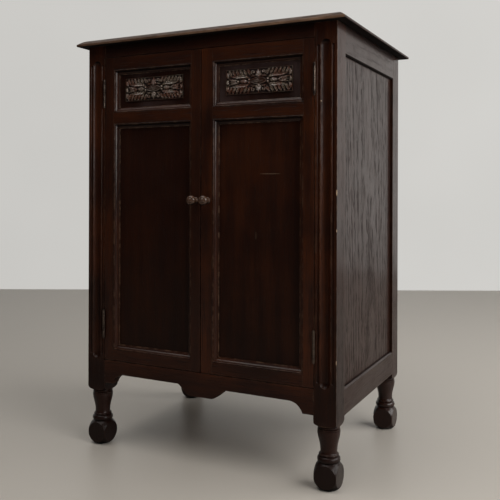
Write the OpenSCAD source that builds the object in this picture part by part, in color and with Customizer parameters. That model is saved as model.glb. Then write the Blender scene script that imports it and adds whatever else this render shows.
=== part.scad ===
// Floor-standing gramophone cabinet of frame-and-panel oak: four posts with turned legs, two
// panelled doors with carved heads, a hinged lid over the turntable well, an inner wooden horn,
// a record compartment and a spring motor hung under the motor board.
// Origin: on the floor under the middle of the carcass. X to the right, Y to the back, Z up.

/* [Carcass] */
// Width of the carcass over the posts
case_w = 650; // [600:5:720]
// Depth of the carcass over the posts
case_d = 479; // [450:1:540]
// Height of the carcass top above the floor
case_h = 982; // [960:1:1060]
// Side of the square posts
post = 51; // [46:1:58]
// Thickness of the carcass rails
rail_t = 22; // [18:1:26]
// Height of the top rails on the sides and the back
top_rail_h = 63; // [50:1:80]
// Height of the bottom rails on the sides and the back
low_rail_h = 58; // [46:1:64]
// Height of the bottom rails' lower edge above the floor
low_rail_z = 150; // [145:1:160]
// Depth of the side and back panels behind the rails' outer faces
panel_recess = 7; // [6:1:12]
// Bevel on the rails' edges beside the side and back panels
rail_bevel = 3; // [1:0.5:5]
// Thickness of the side and back panels
panel_t = 8; // [5:1:9]
// Length of the tenons on the carcass rails
tenon_l = 22; // [12:1:26]
// Thickness of the tenons on the carcass rails
tenon_t = 8; // [5:1:10]

/* [Legs and feet] */
// Height of the square block of each foot
foot_h = 54; // [46:1:60]
// Width of the flat faces' block of each foot
foot_w = 50.5; // [44:0.5:51]
// Radius of the ball that rounds the foot's corners
foot_ball_r = 35.2; // [31:0.1:36]
// Radius of the ring above the foot
ring_r = 24.8; // [22:0.1:25]
// Least radius of the leg, low on its taper
leg_waist_r = 18; // [16:0.1:20]
// Largest radius of the leg, under its top bead
leg_top_r = 24.6; // [22:0.1:25]
// Height of the leg's top above the floor, where the square post starts to form
leg_top_z = 135; // [130:1:144]
// Height of the rounded lower end of the square timber
shoulder_h = 9.5; // [6:0.5:14]

/* [Flutes] */
// Width of the wide flute on each front post
flute_w = 23; // [16:1:26]
// Depth of the wide flute
flute_depth = 7; // [3:0.5:9]
// Width of the narrow flutes beside it
thin_flute_w = 6.5; // [4:0.5:8]
// Depth of the narrow flutes
thin_flute_depth = 2.6; // [1:0.1:3]
// Wood left between the flutes
flute_land = 1.8; // [1:0.1:3]
// How much shorter a narrow flute is at each end
thin_flute_short = 10.5; // [4:0.5:20]

/* [Apron] */
// Thickness of the apron under the doors
apron_t = 22; // [16:1:24]
// Height of the apron's straight lower edge above the floor
apron_z = 180.5; // [176:0.5:190]
// How far the apron's end ledges and its middle hang below the straight edge
apron_drop = 23.5; // [12:0.5:26]
// Length of the ledge beside each post
apron_ledge = 25; // [15:1:40]
// Radius of the hollow curve at each end
apron_cove_r = 33.5; // [26:0.5:40]
// Half width of the pendant in the middle
pendant_half_w = 61.5; // [45:0.5:80]
// Radius of the pendant's lower corners
pendant_r = 26; // [16:1:30]

/* [Lid] */
// Thickness of the lid
lid_t = 16; // [14:1:22]
// Overhang of the lid past the carcass sides
lid_side = 23; // [15:1:30]
// Overhang of the lid past the carcass front and back
lid_front = 20.5; // [15:0.5:26]
// Height of the lid's square lower edge
lid_edge_h = 5; // [3:0.5:8]
// Width of the slope above it, up to the lid's flat top
lid_slope = 18.5; // [10:0.5:26]
// How far the slope swells out between its ends
lid_swell = 1.4; // [0.5:0.1:2]

/* [Doors] */
// Thickness of the door frames
door_t = 22; // [18:1:24]
// Height of the doors' lower edge above the floor
door_z = 214; // [212:0.5:220]
// Height of the rail above the doors
head_rail_h = 29.5; // [24:0.5:40]
// Gap round the doors
door_gap = 1.5; // [1:0.1:2.5]
// Gap between the two doors
meeting_gap = 2; // [1:0.1:3]
// Place of the gap between the doors, from the middle
meeting_x = -2; // [-6:0.5:6]
// Width of the stiles on the hinge side
outer_stile = 25; // [20:1:40]
// Distance from the middle of the cabinet to the panels of each door
panel_in_x = 28; // [24:1:36]
// Height of the doors' top rail
door_top_rail = 30; // [24:1:50]
// Height of the doors' middle rail
door_mid_rail = 27; // [22:1:50]
// Height of the doors' bottom rail
door_low_rail = 26; // [22:1:60]
// Height of the opening for the carved upper panel
upper_panel_h = 104; // [90:1:140]
// Depth of the doors' panels behind the frames' faces
door_recess = 13; // [10:0.5:13]
// Thickness of the doors' panels
door_panel_t = 6; // [4:0.5:7]
// How deep the doors' panels sit in the grooves
door_groove = 6; // [4:0.5:7]
// Width of the panel mouldings
mould_w = 12; // [9:0.5:16]
// Width of the carved plaque on the upper panels
plaque_w = 164; // [120:1:180]
// Height of the carved plaque
plaque_h = 56; // [40:1:60]
// How far the plaque's ground stands out of its panel
plaque_raise = 2; // [1:0.5:5]

/* [Knobs] */
// Radius of the door knobs
knob_r = 11; // [8:0.5:14]
// How far the knobs stand out
knob_l = 28; // [20:1:34]
// Distance of the knobs from the middle of the cabinet
knob_x = 16; // [14:0.5:18]
// Height of the knobs above the floor
knob_z = 606; // [500:1:700]

/* [Hinges] */
// Length of the butt hinges
hinge_l = 65; // [45:5:80]
// Radius of the hinge knuckles
knuckle_r = 3; // [2.5:0.1:3.5]
// Radius of the hinge pins
hinge_pin_r = 1.5; // [1:0.1:1.7]
// Thickness of the hinge leaves
leaf_t = 1.2; // [1:0.1:1.4]
// Width of the hinge leaves from the pin
leaf_w = 20; // [14:1:21]
// Distance of the door hinges' middles from the doors' ends
door_hinge_inset = 87; // [60:1:120]
// Distance of the lid hinges from the middle
lid_hinge_x = 200; // [120:5:230]
// Width of the lid stay
stay_w = 12; // [8:1:14]
// Radius of the lid stay about the hinge line
stay_r = 100; // [94:1:104]
// Thickness of the lid stay
stay_t = 2.5; // [1.5:0.5:3]

/* [Inside] */
// Thickness of the bottom board, the shelf and the motor board
board_t = 12; // [9:1:14]
// Clear height of the record compartment
record_h = 330; // [320:1:340]
// Number of upright dividers between the records
divider_count = 4; // [2:1:6]
// Thickness of the dividers
divider_t = 6; // [4:1:9]
// Depth of the turntable well, from the carcass top to the motor board
well_h = 125; // [124:1:132]
// Thickness of the board behind the doors' heads
fascia_t = 10; // [8:1:12]
// Side of the square cleats under the boards
cleat = 20; // [14:1:24]
// Width of the border of the louvred frame
louvre_border = 16; // [12:1:24]
// Distance between louvre slats
louvre_pitch = 28.5; // [20:0.5:36]
// Thickness of the louvre slats
louvre_t = 5; // [4:0.5:7]
// Wall of the wooden horn
horn_wall = 8; // [5:1:10]

/* [Turntable] */
// Radius of the turntable
platter_r = 150; // [127:1:152]
// Thickness of the turntable's felt
felt_t = 1.5; // [1:0.5:3]
// Radius of the spindle pin that a record fits
pin_r = 3.6; // [3.5:0.01:3.65]
// Height of the spindle pin above the felt
pin_h = 9.5; // [8:0.5:10]
// Radius of the spindle in its bearings
spindle_r = 5; // [4:0.1:6]

/* [Motor] */
// Teeth of the large wheels
wheel_teeth = 80; // [72:8:80]
// Teeth of the pinions
pinion_teeth = 16; // [16:1:20]
// Size of the teeth: pitch diameter over number of teeth
tooth_module = 1.25; // [1.1:0.05:1.25]
// Radius of the spring barrel
barrel_r = 46; // [36:1:47]
// Height of the spring barrel
barrel_h = 44; // [30:1:46]
// Radius of the winding shaft
wind_r = 7; // [6:0.5:8]
// Radius of the socket for the winding handle, and of the handle's rod with its clearance
socket_r = 4.55; // [4:0.05:5]
// Depth of the socket
socket_l = 25; // [15:1:30]
// Radius of the fibre wheel that drives the governor
fibre_r = 20; // [16:1:22]
// Radius of the governor's weights and disc
governor_r = 11; // [8:0.5:11.5]

/* [Tone arm] */
// Radius of the arm's upright tube
arm_foot_r = 16; // [13:0.5:18]
// Radius of the arm's tube where it starts
arm_thick_r = 14; // [12:0.5:15]
// Radius of the arm's tube at its end
arm_thin_r = 11.5; // [10.5:0.5:12]
// Wall of the arm's tubes
arm_wall = 2; // [1.5:0.5:2]
// Height of the arm's axis above the motor board
arm_rise = 71; // [69:1:72]
// Radius of the sound box
sound_box_r = 27; // [22:1:28]
// Thickness of the sound box
sound_box_t = 14; // [10:1:14]

/* [Hidden] */
$fn = 64;
eps = 0.01;       // overrun of a cut past a face
run = 0.05;       // radial clearance of a running fit
clear = 0.4;      // gap between pieces that move past each other
LEFT = -1;
RIGHT = 1;

// colours, as the photograph shows them
oak = [0.16, 0.09, 0.06];
oak_light = [0.24, 0.14, 0.09];
inner_wood = [0.36, 0.24, 0.15];
brass = [0.62, 0.50, 0.28];
nickel = [0.72, 0.70, 0.66];
iron = [0.25, 0.25, 0.26];
felt_green = [0.16, 0.26, 0.17];

// carcass planes
side_x = case_w / 2;
front_y = -case_d / 2;
back_y = case_d / 2;
post_in_x = side_x - post;
post_in_y = back_y - post;
post_x = side_x - post / 2;
post_y = back_y - post / 2;
low_rail_top = low_rail_z + low_rail_h;
top_rail_z = case_h - top_rail_h;
panel_out_x = side_x - panel_recess;
panel_in_face_x = panel_out_x - panel_t;
rail_in_x = side_x - rail_t;
rail_in_y = back_y - rail_t;
back_panel_y = back_y - panel_recess - panel_t;
groove = 8;                                   // how deep the carcass panels sit in their grooves
tenon_root = 1;                               // how far a tenon starts inside its own rail

// doors
door_back_y = front_y + door_t;
inner_front_y = door_back_y + door_gap;       // front plane of everything behind the doors
door_rebate_x = post_in_x + 2;                // the posts are cut back to here beside the doors
door_edge_x = door_rebate_x - door_gap;
head_rail_z = case_h - head_rail_h;
door_top = head_rail_z - door_gap;
apron_top = door_z - door_gap;
panel_out_edge = door_edge_x - outer_stile;
upper_top = door_top - door_top_rail;
upper_low = upper_top - upper_panel_h;
lower_top = upper_low - door_mid_rail;
lower_low = door_z + door_low_rail;
door_panel_y = front_y + door_recess;
door_tenon_inset = door_groove + 1;

// hinges: the door pins stand upright in front of the gap, the lid pins lie behind the back face
pin_out = knuckle_r + clear;
door_pin_x = (door_rebate_x + door_edge_x) / 2;
door_pin_y = front_y - pin_out;
lid_pin_y = back_y + pin_out;
lid_pin_z = case_h - pin_out;
door_leaf_off = door_gap / 2;
lid_leaf_off = pin_out - leaf_t;
leaf_start = knuckle_r + 0.7;
knuckles = 5;
knuckle_gap = 0.3;
door_hinge_zs = [door_z + door_hinge_inset, door_top - door_hinge_inset];

// lid stay: a strip bent to an arc about the hinge line, running in a guide on the lining
stay_x = -(post_in_x - 20);
stay_top_a = 4;
stay_low_a = 72;
stay_guide_a = 9;
stay_stop_a = 70;

// inside
bottom_top = low_rail_top + 10;
shelf_z = bottom_top + record_h;
horn_z = shelf_z + board_t;
deck_z = case_h - well_h;
deck_low = deck_z - board_t;
motor_h = 104;                                // height of the motor, plates included
fascia_z = deck_low - motor_h - 6;
horn_h = fascia_z - horn_z;                   // height of the louvred frame in front of the horn
deck_front_y = inner_front_y + fascia_t;
lining_t = 10;
lining_x = post_in_x - lining_t;

// turntable and motor: three upright shafts between two plates, wheel to pinion
spin = [-30, -15];
mesh_r = tooth_module * (wheel_teeth + pinion_teeth) / 2;
train_rise = 36.87;                            // slant of each line of centres
mid_shaft = spin + mesh_r * [-cos(train_rise), sin(train_rise)];
barrel_at = mid_shaft - mesh_r * [cos(train_rise), sin(train_rise)];
plate_t = 6;
barrel_foot = 8;                              // space under the barrel
wheel_step = 14;                              // height of the middle wheel above the barrel's
fibre_step = 12;                              // height of the fibre wheel above the middle wheel
shaft_play = 0.5;                             // how far the shafts' ends stay inside the frame
frame_top = deck_low;
frame_low = frame_top - motor_h;
low_plate_t = 4;
barrel_z = frame_low + low_plate_t + barrel_foot;
barrel_gear_z = barrel_z + barrel_h;
gear_t = 6;
pinion_t = 8;
wheel_z = barrel_gear_z + wheel_step;
fibre_z = wheel_z + fibre_step;
fibre_t = 8;
shaft_r = 3;
worm_r = 4;
governor_y = spin[1] - fibre_r - worm_r - 0.7;
governor_z = fibre_z + fibre_t / 2;
wind_drop = 15;                               // depth of the winding shaft's axis under the motor board
wind_z = deck_low - wind_drop;
bevel_z = wheel_z + gear_t;
bevel_r = 14;
bevel_h = 6;                                   // width of the bevel wheels' faces
bevel_top = wind_z - wind_r - 0.5;
wind_end_x = -(panel_out_x + 3);
governor_pin_r = 2;
frame_margin = 18;                            // width of the plates past the barrel
frame_x0 = barrel_at[0] - barrel_r - frame_margin;
frame_x1 = spin[0] + 2 * mesh_r - frame_margin;
frame_y0 = barrel_at[1] - barrel_r - frame_margin;
frame_y1 = mid_shaft[1] + mesh_r + frame_margin / 2;

platter_z = deck_z + 14;
platter_t = 6;
felt_z = platter_z + platter_t;
record_z = felt_z + felt_t;

// tone arm
arm_at = [150, 125];
arm_z = deck_z + arm_rise;
arm_bend = 24;
arm_bend_y = arm_at[1] - arm_bend;
arm_base_top = deck_z + 28;
arm_end_y = -70;
neck_bend = 22;
neck_start_y = arm_end_y - 8;
box_x = arm_at[0] - neck_bend - 6;
box_y = neck_start_y - neck_bend;
throat_r = arm_foot_r;
throat_wall = 3;
throat_bend = 50;
throat_z = horn_z + horn_h / 2;
throat_end_y = arm_at[1] - throat_bend;
horn_small = 50;

// winding handle, put away on the motor board
crank_rod_r = socket_r - run;
crank_throw = 102;
crank_grip_r = 11;
crank_x = spin[0] - 120;
crank_y1 = back_panel_y - crank_grip_r - 6.5;
crank_y0 = crank_y1 - crank_throw;
crank_grip_l = 83;
crank_rod_l = 65;
crank_pin_r = 3;
crank_z = deck_z + crank_grip_r + 0.5;

// ---- helpers ----

// points of an arc, for outlines
function arc(c, r, a0, a1, n) =
    [for (i = [0:n]) c + r * [cos(a0 + (a1 - a0) * i / n), sin(a0 + (a1 - a0) * i / n)]];

// a box from its two corners
module block(a, b) {
    translate(a)
        cube(b - a);
}

// an outline in X and Z, given a depth along Y
module plate_xz(y0, y1, points) {
    translate([0, y1, 0])
        rotate([90, 0, 0])
            linear_extrude(y1 - y0)
                polygon(points);
}

// an outline in Y and Z, given a length along X
module plate_yz(x0, x1, points) {
    translate([x0, 0, 0])
        rotate([90, 0, 90])
            linear_extrude(x1 - x0)
                polygon(points);
}

module on_side(side) {
    if (side == LEFT)
        mirror([1, 0, 0])
            children();
    else
        children();
}

module both_sides() {
    for (side = [LEFT, RIGHT])
        on_side(side)
            children();
}

module upright(at, z0, z1, r) {
    translate([at[0], at[1], z0])
        cylinder(h = z1 - z0, r = r);
}

// a cylinder along X
module rod_x(x0, x1, y, z, r) {
    translate([x0, y, z])
        rotate([0, 90, 0])
            cylinder(h = x1 - x0, r = r);
}

// ---- carcass joinery, shared by the pieces and the pockets cut for them ----

module side_panel_blank() {
    block([panel_in_face_x, -post_in_y - groove, low_rail_top - groove],
          [panel_out_x, post_in_y + groove, top_rail_z + groove]);
}

module back_panel_blank() {
    block([-post_in_x - groove, back_panel_y, low_rail_top - groove],
          [post_in_x + groove, back_panel_y + panel_t, top_rail_z + groove]);
}

// tenons at both ends of a side rail of the given height range
module side_tenons(z0, z1) {
    for (end = [-1, 1])
        translate([side_x - rail_t / 2, end * (post_in_y + (tenon_l - tenon_root) / 2), (z0 + z1) / 2])
            cube([tenon_t, tenon_l + tenon_root, z1 - z0 - 2 * groove - 4], center = true);
}

module back_tenons(z0, z1) {
    for (end = [-1, 1])
        translate([end * (post_in_x + (tenon_l - tenon_root) / 2), back_y - rail_t / 2, (z0 + z1) / 2])
            cube([tenon_l + tenon_root, tenon_t, z1 - z0 - 2 * groove - 4], center = true);
}

module front_tenons(z0, z1, t) {
    for (end = [-1, 1])
        translate([end * (post_in_x + (tenon_l - tenon_root) / 2), front_y + t / 2, (z0 + z1) / 2])
            cube([tenon_l + tenon_root, tenon_t, z1 - z0], center = true);
}

module carcass_tenons() {
    side_tenons(low_rail_z, low_rail_top);
    side_tenons(top_rail_z, case_h);
    back_tenons(low_rail_z, low_rail_top);
    back_tenons(top_rail_z, case_h);
    front_tenons(apron_z + 6, apron_top - 6, apron_t);
    front_tenons(head_rail_z + 6, case_h - 6, rail_t);
}

// ---- posts ----

// outline of the turned leg, from the foot's top to the shoulder
function leg_outline() = concat(
    [[0, foot_h - 4], [ring_r - 5.4, foot_h - 4]],
    arc([ring_r - 7.8, foot_h + 9.6], 7.8, -72, 72, 12),
    arc([ring_r - 5.2, foot_h + 19.2], 1.9, -70, 70, 6),
    [for (i = [0:4]) [leg_waist_r + 1.7 * pow(1 - i / 4, 2), foot_h + 21.4 + 4.6 * i / 4]],
    [for (i = [1:12])
        [leg_waist_r + (leg_top_r - leg_waist_r) * (1 - cos(180 * pow(i / 12, 1.15))) / 2,
         foot_h + 26 + (leg_top_z - 12 - foot_h - 26) * i / 12]],
    [[leg_top_r, leg_top_z - 10.8], [leg_top_r - 1.2, leg_top_z - 10.2],
     [leg_top_r - 0.5, leg_top_z - 9.5], [leg_top_r - 0.5, leg_top_z - 7.6],
     [leg_top_r - 1.9, leg_top_z - 6.8]],
    arc([leg_top_r - 3.8, leg_top_z - 3.4], 3, -70, 70, 8),
    [[leg_top_r - 1.8, leg_top_z], [0, leg_top_z]]
);

// the square post is cut by this turned outline, which rounds its lower corners
module shoulder_cut() {
    shoulder_w = post / sqrt(2) - leg_top_r + 1.1;
    rotate_extrude()
        polygon(concat(
            [[0, leg_top_z]],
            [for (i = [0:10])
                [leg_top_r - 1 + shoulder_w * sin(9 * i), leg_top_z + shoulder_h * (1 - cos(9 * i))]],
            [[post, leg_top_z + shoulder_h + 1], [post, case_h], [0, case_h]]
        ));
}

module foot() {
    intersection() {
        translate([-foot_w / 2, -foot_w / 2, 0])
            cube([foot_w, foot_w, foot_h + 4]);
        translate([0, 0, foot_h * 0.55])
            sphere(r = foot_ball_r);
    }
}

// square timber, turned leg and foot in one, standing on the origin
module post_blank() {
    foot();
    rotate_extrude()
        polygon(leg_outline());
    intersection() {
        block([-post / 2, -post / 2, leg_top_z], [post / 2, post / 2, case_h]);
        shoulder_cut();
    }
}

// a stopped hollow flute on the front face, of round section and with round ends
module flute(x, w, depth, z0, z1) {
    r = (w * w / 4 + depth * depth) / (2 * depth);
    translate([x, -post / 2 - r + depth, 0]) {
        translate([0, 0, z0 + w / 2])
            cylinder(h = z1 - z0 - w, r = r);
        for (z = [z0 + w / 2, z1 - w / 2])
            translate([0, 0, z])
                sphere(r = r);
    }
}

module flutes() {
    low = door_z + 0.5;
    high = door_top - 5;
    thin_x = flute_w / 2 + flute_land + thin_flute_w / 2;
    flute(0, flute_w, flute_depth, low, high);
    for (x = [-thin_x, thin_x])
        flute(x, thin_flute_w, thin_flute_depth, low + thin_flute_short, high - thin_flute_short);
}

module front_post() {
    difference() {
        translate([post_x, -post_y, 0])
            difference() {
                post_blank();
                flutes();
            }
        block([post_in_x - eps, front_y - eps, door_z - door_gap],
              [door_rebate_x, inner_front_y, head_rail_z]);
        carcass_tenons();
        side_panel_blank();
        door_leaf_pockets(door_rebate_x, 1);
    }
}

module back_post() {
    difference() {
        translate([post_x, post_y, 0])
            post_blank();
        carcass_tenons();
        side_panel_blank();
        back_panel_blank();
    }
}

module front_left_post() {
    color(oak)
        on_side(LEFT)
            front_post();
}

module front_right_post() {
    color(oak)
        front_post();
}

module back_posts() {
    color(oak)
        both_sides()
            back_post();
}

// ---- rails, panels and boards of the carcass ----

module front_top_rail() {
    color(oak) {
        block([-post_in_x, front_y, head_rail_z], [post_in_x, inner_front_y, case_h]);
        front_tenons(head_rail_z + 6, case_h - 6, rail_t);
    }
}

function apron_half() =
    let (
        end_x = post_in_x - apron_ledge,
        ledge_z = apron_z - apron_drop,
        cove_z = apron_z - apron_cove_r,
        cove_a = asin((ledge_z - cove_z) / apron_cove_r),
        cove_x = end_x - apron_cove_r * cos(cove_a),
        pend_z = ledge_z + pendant_r,
        pend_x = pendant_half_w - pendant_r * 1.45
    )
    concat(
        [[0, apron_top], [post_in_x, apron_top], [post_in_x, ledge_z]],
        arc([cove_x, cove_z], apron_cove_r, cove_a, 90, 8),
        [[pendant_half_w, apron_z]],
        arc([pend_x, pend_z], pendant_r, -48, -90, 6),
        [[0, ledge_z]]
    );

module apron() {
    color(oak) {
        both_sides()
            plate_xz(front_y, front_y + apron_t, apron_half());
        front_tenons(apron_z + 6, apron_top - 6, apron_t);
    }
}

module low_side_rail() {
    plate_xz(-post_in_y, post_in_y,
             [[rail_in_x, low_rail_z], [side_x, low_rail_z], [side_x, low_rail_top - rail_bevel],
              [side_x - rail_bevel, low_rail_top], [rail_in_x, low_rail_top]]);
}

module top_side_rail() {
    plate_xz(-post_in_y, post_in_y,
             [[rail_in_x, top_rail_z], [side_x - rail_bevel, top_rail_z],
              [side_x, top_rail_z + rail_bevel], [side_x, case_h], [rail_in_x, case_h]]);
}

module low_back_rail() {
    plate_yz(-post_in_x, post_in_x,
             [[rail_in_y, low_rail_z], [back_y, low_rail_z], [back_y, low_rail_top - rail_bevel],
              [back_y - rail_bevel, low_rail_top], [rail_in_y, low_rail_top]]);
}

module top_back_rail() {
    plate_yz(-post_in_x, post_in_x,
             [[rail_in_y, top_rail_z], [back_y - rail_bevel, top_rail_z],
              [back_y, top_rail_z + rail_bevel], [back_y, case_h], [rail_in_y, case_h]]);
}

module side_rails() {
    color(oak)
        both_sides()
            difference() {
                union() {
                    low_side_rail();
                    top_side_rail();
                    side_tenons(low_rail_z, low_rail_top);
                    side_tenons(top_rail_z, case_h);
                }
                side_panel_blank();
            }
}

module left_side_panel() {
    color(oak)
        difference() {
            on_side(LEFT)
                side_panel_blank();
            rod_x(-side_x, 0, barrel_at[1], wind_z, wind_r + 2);
        }
}

module right_side_panel() {
    color(oak)
        side_panel_blank();
}

module back_rails() {
    color(oak)
        difference() {
            union() {
                low_back_rail();
                top_back_rail();
                back_tenons(low_rail_z, low_rail_top);
                back_tenons(top_rail_z, case_h);
            }
            back_panel_blank();
            // recesses for the lid hinges' leaves
            for (x = [-lid_hinge_x, lid_hinge_x])
                block([x - hinge_l / 2 - clear, back_y - leaf_w, case_h - leaf_t - 0.3],
                      [x + hinge_l / 2 + clear, back_y + eps, case_h + eps]);
        }
}

module back_panel() {
    color(oak)
        back_panel_blank();
}

// a board that fills the carcass between the side panels and is notched round the posts
module board(z, front) {
    difference() {
        block([-panel_in_face_x, front, z], [panel_in_face_x, back_panel_y, z + board_t]);
        both_sides()
            for (way = [-1, 1])
                translate([post_x, way * post_y, z + board_t / 2])
                    cube([post, post, board_t + 2], center = true);
    }
}

module bottom_board() {
    color(inner_wood)
        difference() {
            board(bottom_top - board_t, inner_front_y);
            both_sides()
                low_side_rail();
            low_back_rail();
        }
}

module record_shelf() {
    color(inner_wood)
        board(shelf_z, inner_front_y);
}

module cleats() {
    color(inner_wood)
        difference() {
            both_sides() {
                block([rail_in_x - cleat, -post_in_y, bottom_top - board_t - cleat],
                      [rail_in_x, post_in_y, bottom_top - board_t]);
                for (z = [shelf_z, deck_low])
                    block([panel_in_face_x - cleat, -post_in_y, z - cleat],
                          [panel_in_face_x, post_in_y, z]);
            }
            rod_x(-side_x, 0, barrel_at[1], wind_z, wind_r + 2);
        }
}

module record_dividers() {
    pitch = 2 * post_in_x / (divider_count + 1);
    color(inner_wood)
        for (i = [1:divider_count])
            translate([-post_in_x + pitch * i - divider_t / 2, inner_front_y + 11, bottom_top])
                cube([divider_t, back_panel_y - inner_front_y - 36, record_h]);
}

module fascia_board() {
    color(oak)
        block([-post_in_x, inner_front_y, fascia_z], [post_in_x, deck_front_y, case_h]);
}

module motor_board() {
    color(oak)
        difference() {
            board(deck_low, deck_front_y);
            upright(spin, deck_low - 1, deck_z + 1, spindle_r + 6);
            upright(arm_at, deck_low - 1, deck_z + 1, throat_r + throat_wall + clear);
        }
}

module well_lining() {
    color(oak)
        both_sides()
            block([lining_x, deck_front_y, deck_z], [post_in_x, back_panel_y - 12, case_h - 2]);
}

// ---- horn ----

// a thin upright sheet, one end of the horn
module horn_end(x, y, w, z, h) {
    block([x - w / 2, y, z - h / 2], [x + w / 2, y + 1, z + h / 2]);
}

module horn() {
    mouth_w = 2 * post_in_x - 8;
    mouth_h = horn_h - 8;
    mouth_y = inner_front_y + louvre_border;
    color(inner_wood)
        difference() {
            hull() {
                horn_end(0, mouth_y, mouth_w, throat_z, mouth_h);
                horn_end(arm_at[0], throat_end_y - 6, horn_small, throat_z, horn_small);
            }
            hull() {
                horn_end(0, mouth_y - 1 - eps, mouth_w - 2 * horn_wall, throat_z,
                         mouth_h - 2 * horn_wall);
                horn_end(arm_at[0], throat_end_y - 5 + eps, horn_small - 2 * horn_wall, throat_z,
                         horn_small - 2 * horn_wall);
            }
        }
}

module horn_louvres() {
    depth = louvre_border;
    y = inner_front_y;
    in_z = horn_z + louvre_border;
    in_h = horn_h - 2 * louvre_border;
    in_x = post_in_x - louvre_border;
    louvres = max(1, round(in_h / louvre_pitch) - 1);
    color(oak) {
        difference() {
            block([-post_in_x, y, horn_z], [post_in_x, y + depth, fascia_z]);
            block([-in_x, y - 1, in_z], [in_x, y + depth + 1, in_z + in_h]);
        }
        for (i = [1:louvres])
            translate([0, y + depth / 2, in_z + in_h * i / (louvres + 1)])
                rotate([35, 0, 0])
                    cube([2 * in_x + 1, depth * 0.9, louvre_t], center = true);
    }
}

module horn_throat() {
    outer = throat_r + throat_wall;
    flange_t = 5;
    color(iron) {
        difference() {
            upright(arm_at, throat_z + throat_bend, deck_z, outer);
            upright(arm_at, throat_z + throat_bend - 1, deck_z + 1, throat_r);
        }
        translate([arm_at[0], throat_end_y, throat_z + throat_bend])
            rotate([90, 0, 90])
                rotate([0, 0, -90])
                    rotate_extrude(angle = 90)
                        translate([throat_bend, 0])
                            difference() {
                                circle(r = outer);
                                circle(r = throat_r);
                            }
        difference() {
            block([arm_at[0] - horn_small / 2, throat_end_y - flange_t, throat_z - horn_small / 2],
                  [arm_at[0] + horn_small / 2, throat_end_y, throat_z + horn_small / 2]);
            translate([arm_at[0], throat_end_y + 1, throat_z])
                rotate([90, 0, 0])
                    cylinder(h = flange_t + 2, r = throat_r);
        }
    }
}

// ---- doors: made for the right-hand side, in place; the left one is mirrored ----

// where the meeting edge lies, as seen from the mirrored side too
function meeting_edge(side) = side * meeting_x + meeting_gap / 2;

module door_panel_blank(z0, z1) {
    block([panel_in_x - door_groove, door_panel_y, z0 - door_groove],
          [panel_out_edge + door_groove, door_panel_y + door_panel_t, z1 + door_groove]);
}

module upper_panel_blank() {
    door_panel_blank(upper_low, upper_top);
}

module lower_panel_blank() {
    door_panel_blank(lower_low, lower_top);
}

module door_tenons(side) {
    inner_len = min(16, panel_in_x - meeting_edge(side) - 6);
    for (span = [[door_z, lower_low], [lower_top, upper_low], [upper_top, door_top]])
        block([panel_in_x - inner_len, door_panel_y, span[0] + door_tenon_inset],
              [panel_out_edge + 16, door_panel_y + door_panel_t, span[1] - door_tenon_inset]);
}

// pockets for the hinge leaves, cut from the face at x towards +X (way 1) or -X (way -1)
module door_leaf_pockets(x, way) {
    for (z = door_hinge_zs)
        translate([way > 0 ? x - eps : x - leaf_t, front_y - 1, z - hinge_l / 2])
            cube([leaf_t + eps, leaf_w - pin_out + 1 + 0.2, hinge_l]);
}

module door_stiles(side) {
    color(oak)
        difference() {
            union() {
                block([meeting_edge(side), front_y, door_z], [panel_in_x, door_back_y, door_top]);
                block([panel_out_edge, front_y, door_z], [door_edge_x, door_back_y, door_top]);
            }
            upper_panel_blank();
            lower_panel_blank();
            door_tenons(side);
            door_leaf_pockets(door_edge_x, -1);
            translate([knob_x, front_y, knob_z])
                rotate([-90, 0, 0])
                    cylinder(h = 14.5, r = 4.1);
        }
}

module door_rails(side) {
    color(oak)
        difference() {
            union() {
                for (span = [[door_z, lower_low], [lower_top, upper_low], [upper_top, door_top]])
                    block([panel_in_x, front_y, span[0]], [panel_out_edge, door_back_y, span[1]]);
                door_tenons(side);
            }
            upper_panel_blank();
            lower_panel_blank();
        }
}

module upper_panel() {
    mid_x = (panel_in_x + panel_out_edge) / 2;
    mid_z = (upper_low + upper_top) / 2 + 2;
    color(oak) {
        upper_panel_blank();
        block([mid_x - plaque_w / 2, door_panel_y - plaque_raise, mid_z - plaque_h / 2],
              [mid_x + plaque_w / 2, door_panel_y, mid_z + plaque_h / 2]);
    }
}

module lower_panel() {
    color(oak)
        lower_panel_blank();
}

// outline of a panel moulding: u runs in from the frame's edge, v back from the frame's face
function mould_outline() = concat(
    [[0, door_recess], [0, 1.2]],
    arc([1.6, 1.8], 1.4, -150, -30, 5),
    [[3.2, 2.6]],
    arc([mould_w - 0.5, 0.5], mould_w - 4.2, 165, 105, 6),
    [[mould_w - 1.8, door_recess - 2.2], [mould_w, door_recess - 1.6], [mould_w, door_recess]]
);

// a mitred rectangle of moulding round the opening from x0, z0 to x1, z1
module mould_frame(x0, x1, z0, z1) {
    mid_x = (x0 + x1) / 2;
    mid_z = (z0 + z1) / 2;
    half_w = (x1 - x0) / 2;
    half_h = (z1 - z0) / 2;
    translate([mid_x, 0, mid_z]) {
        for (flip = [0, 1]) {
            mirror([0, 0, flip])
                intersection() {
                    plate_yz(-half_w, half_w, [for (p = mould_outline()) [front_y + p[1], p[0] - half_h]]);
                    plate_xz(front_y, front_y + door_recess,
                             [[-half_w, -half_h], [half_w, -half_h],
                              [half_w - mould_w, mould_w - half_h], [mould_w - half_w, mould_w - half_h]]);
                }
            mirror([flip, 0, 0])
                intersection() {
                    translate([0, 0, -half_h])
                        linear_extrude(2 * half_h)
                            polygon([for (p = mould_outline()) [p[0] - half_w, front_y + p[1]]]);
                    plate_xz(front_y, front_y + door_recess,
                             [[-half_w, -half_h], [-half_w, half_h],
                              [mould_w - half_w, half_h - mould_w], [mould_w - half_w, mould_w - half_h]]);
                }
        }
    }
}

module door_mouldings() {
    color(oak_light) {
        mould_frame(panel_in_x, panel_out_edge, upper_low, upper_top);
        mould_frame(panel_in_x, panel_out_edge, lower_low, lower_top);
    }
}

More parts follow.
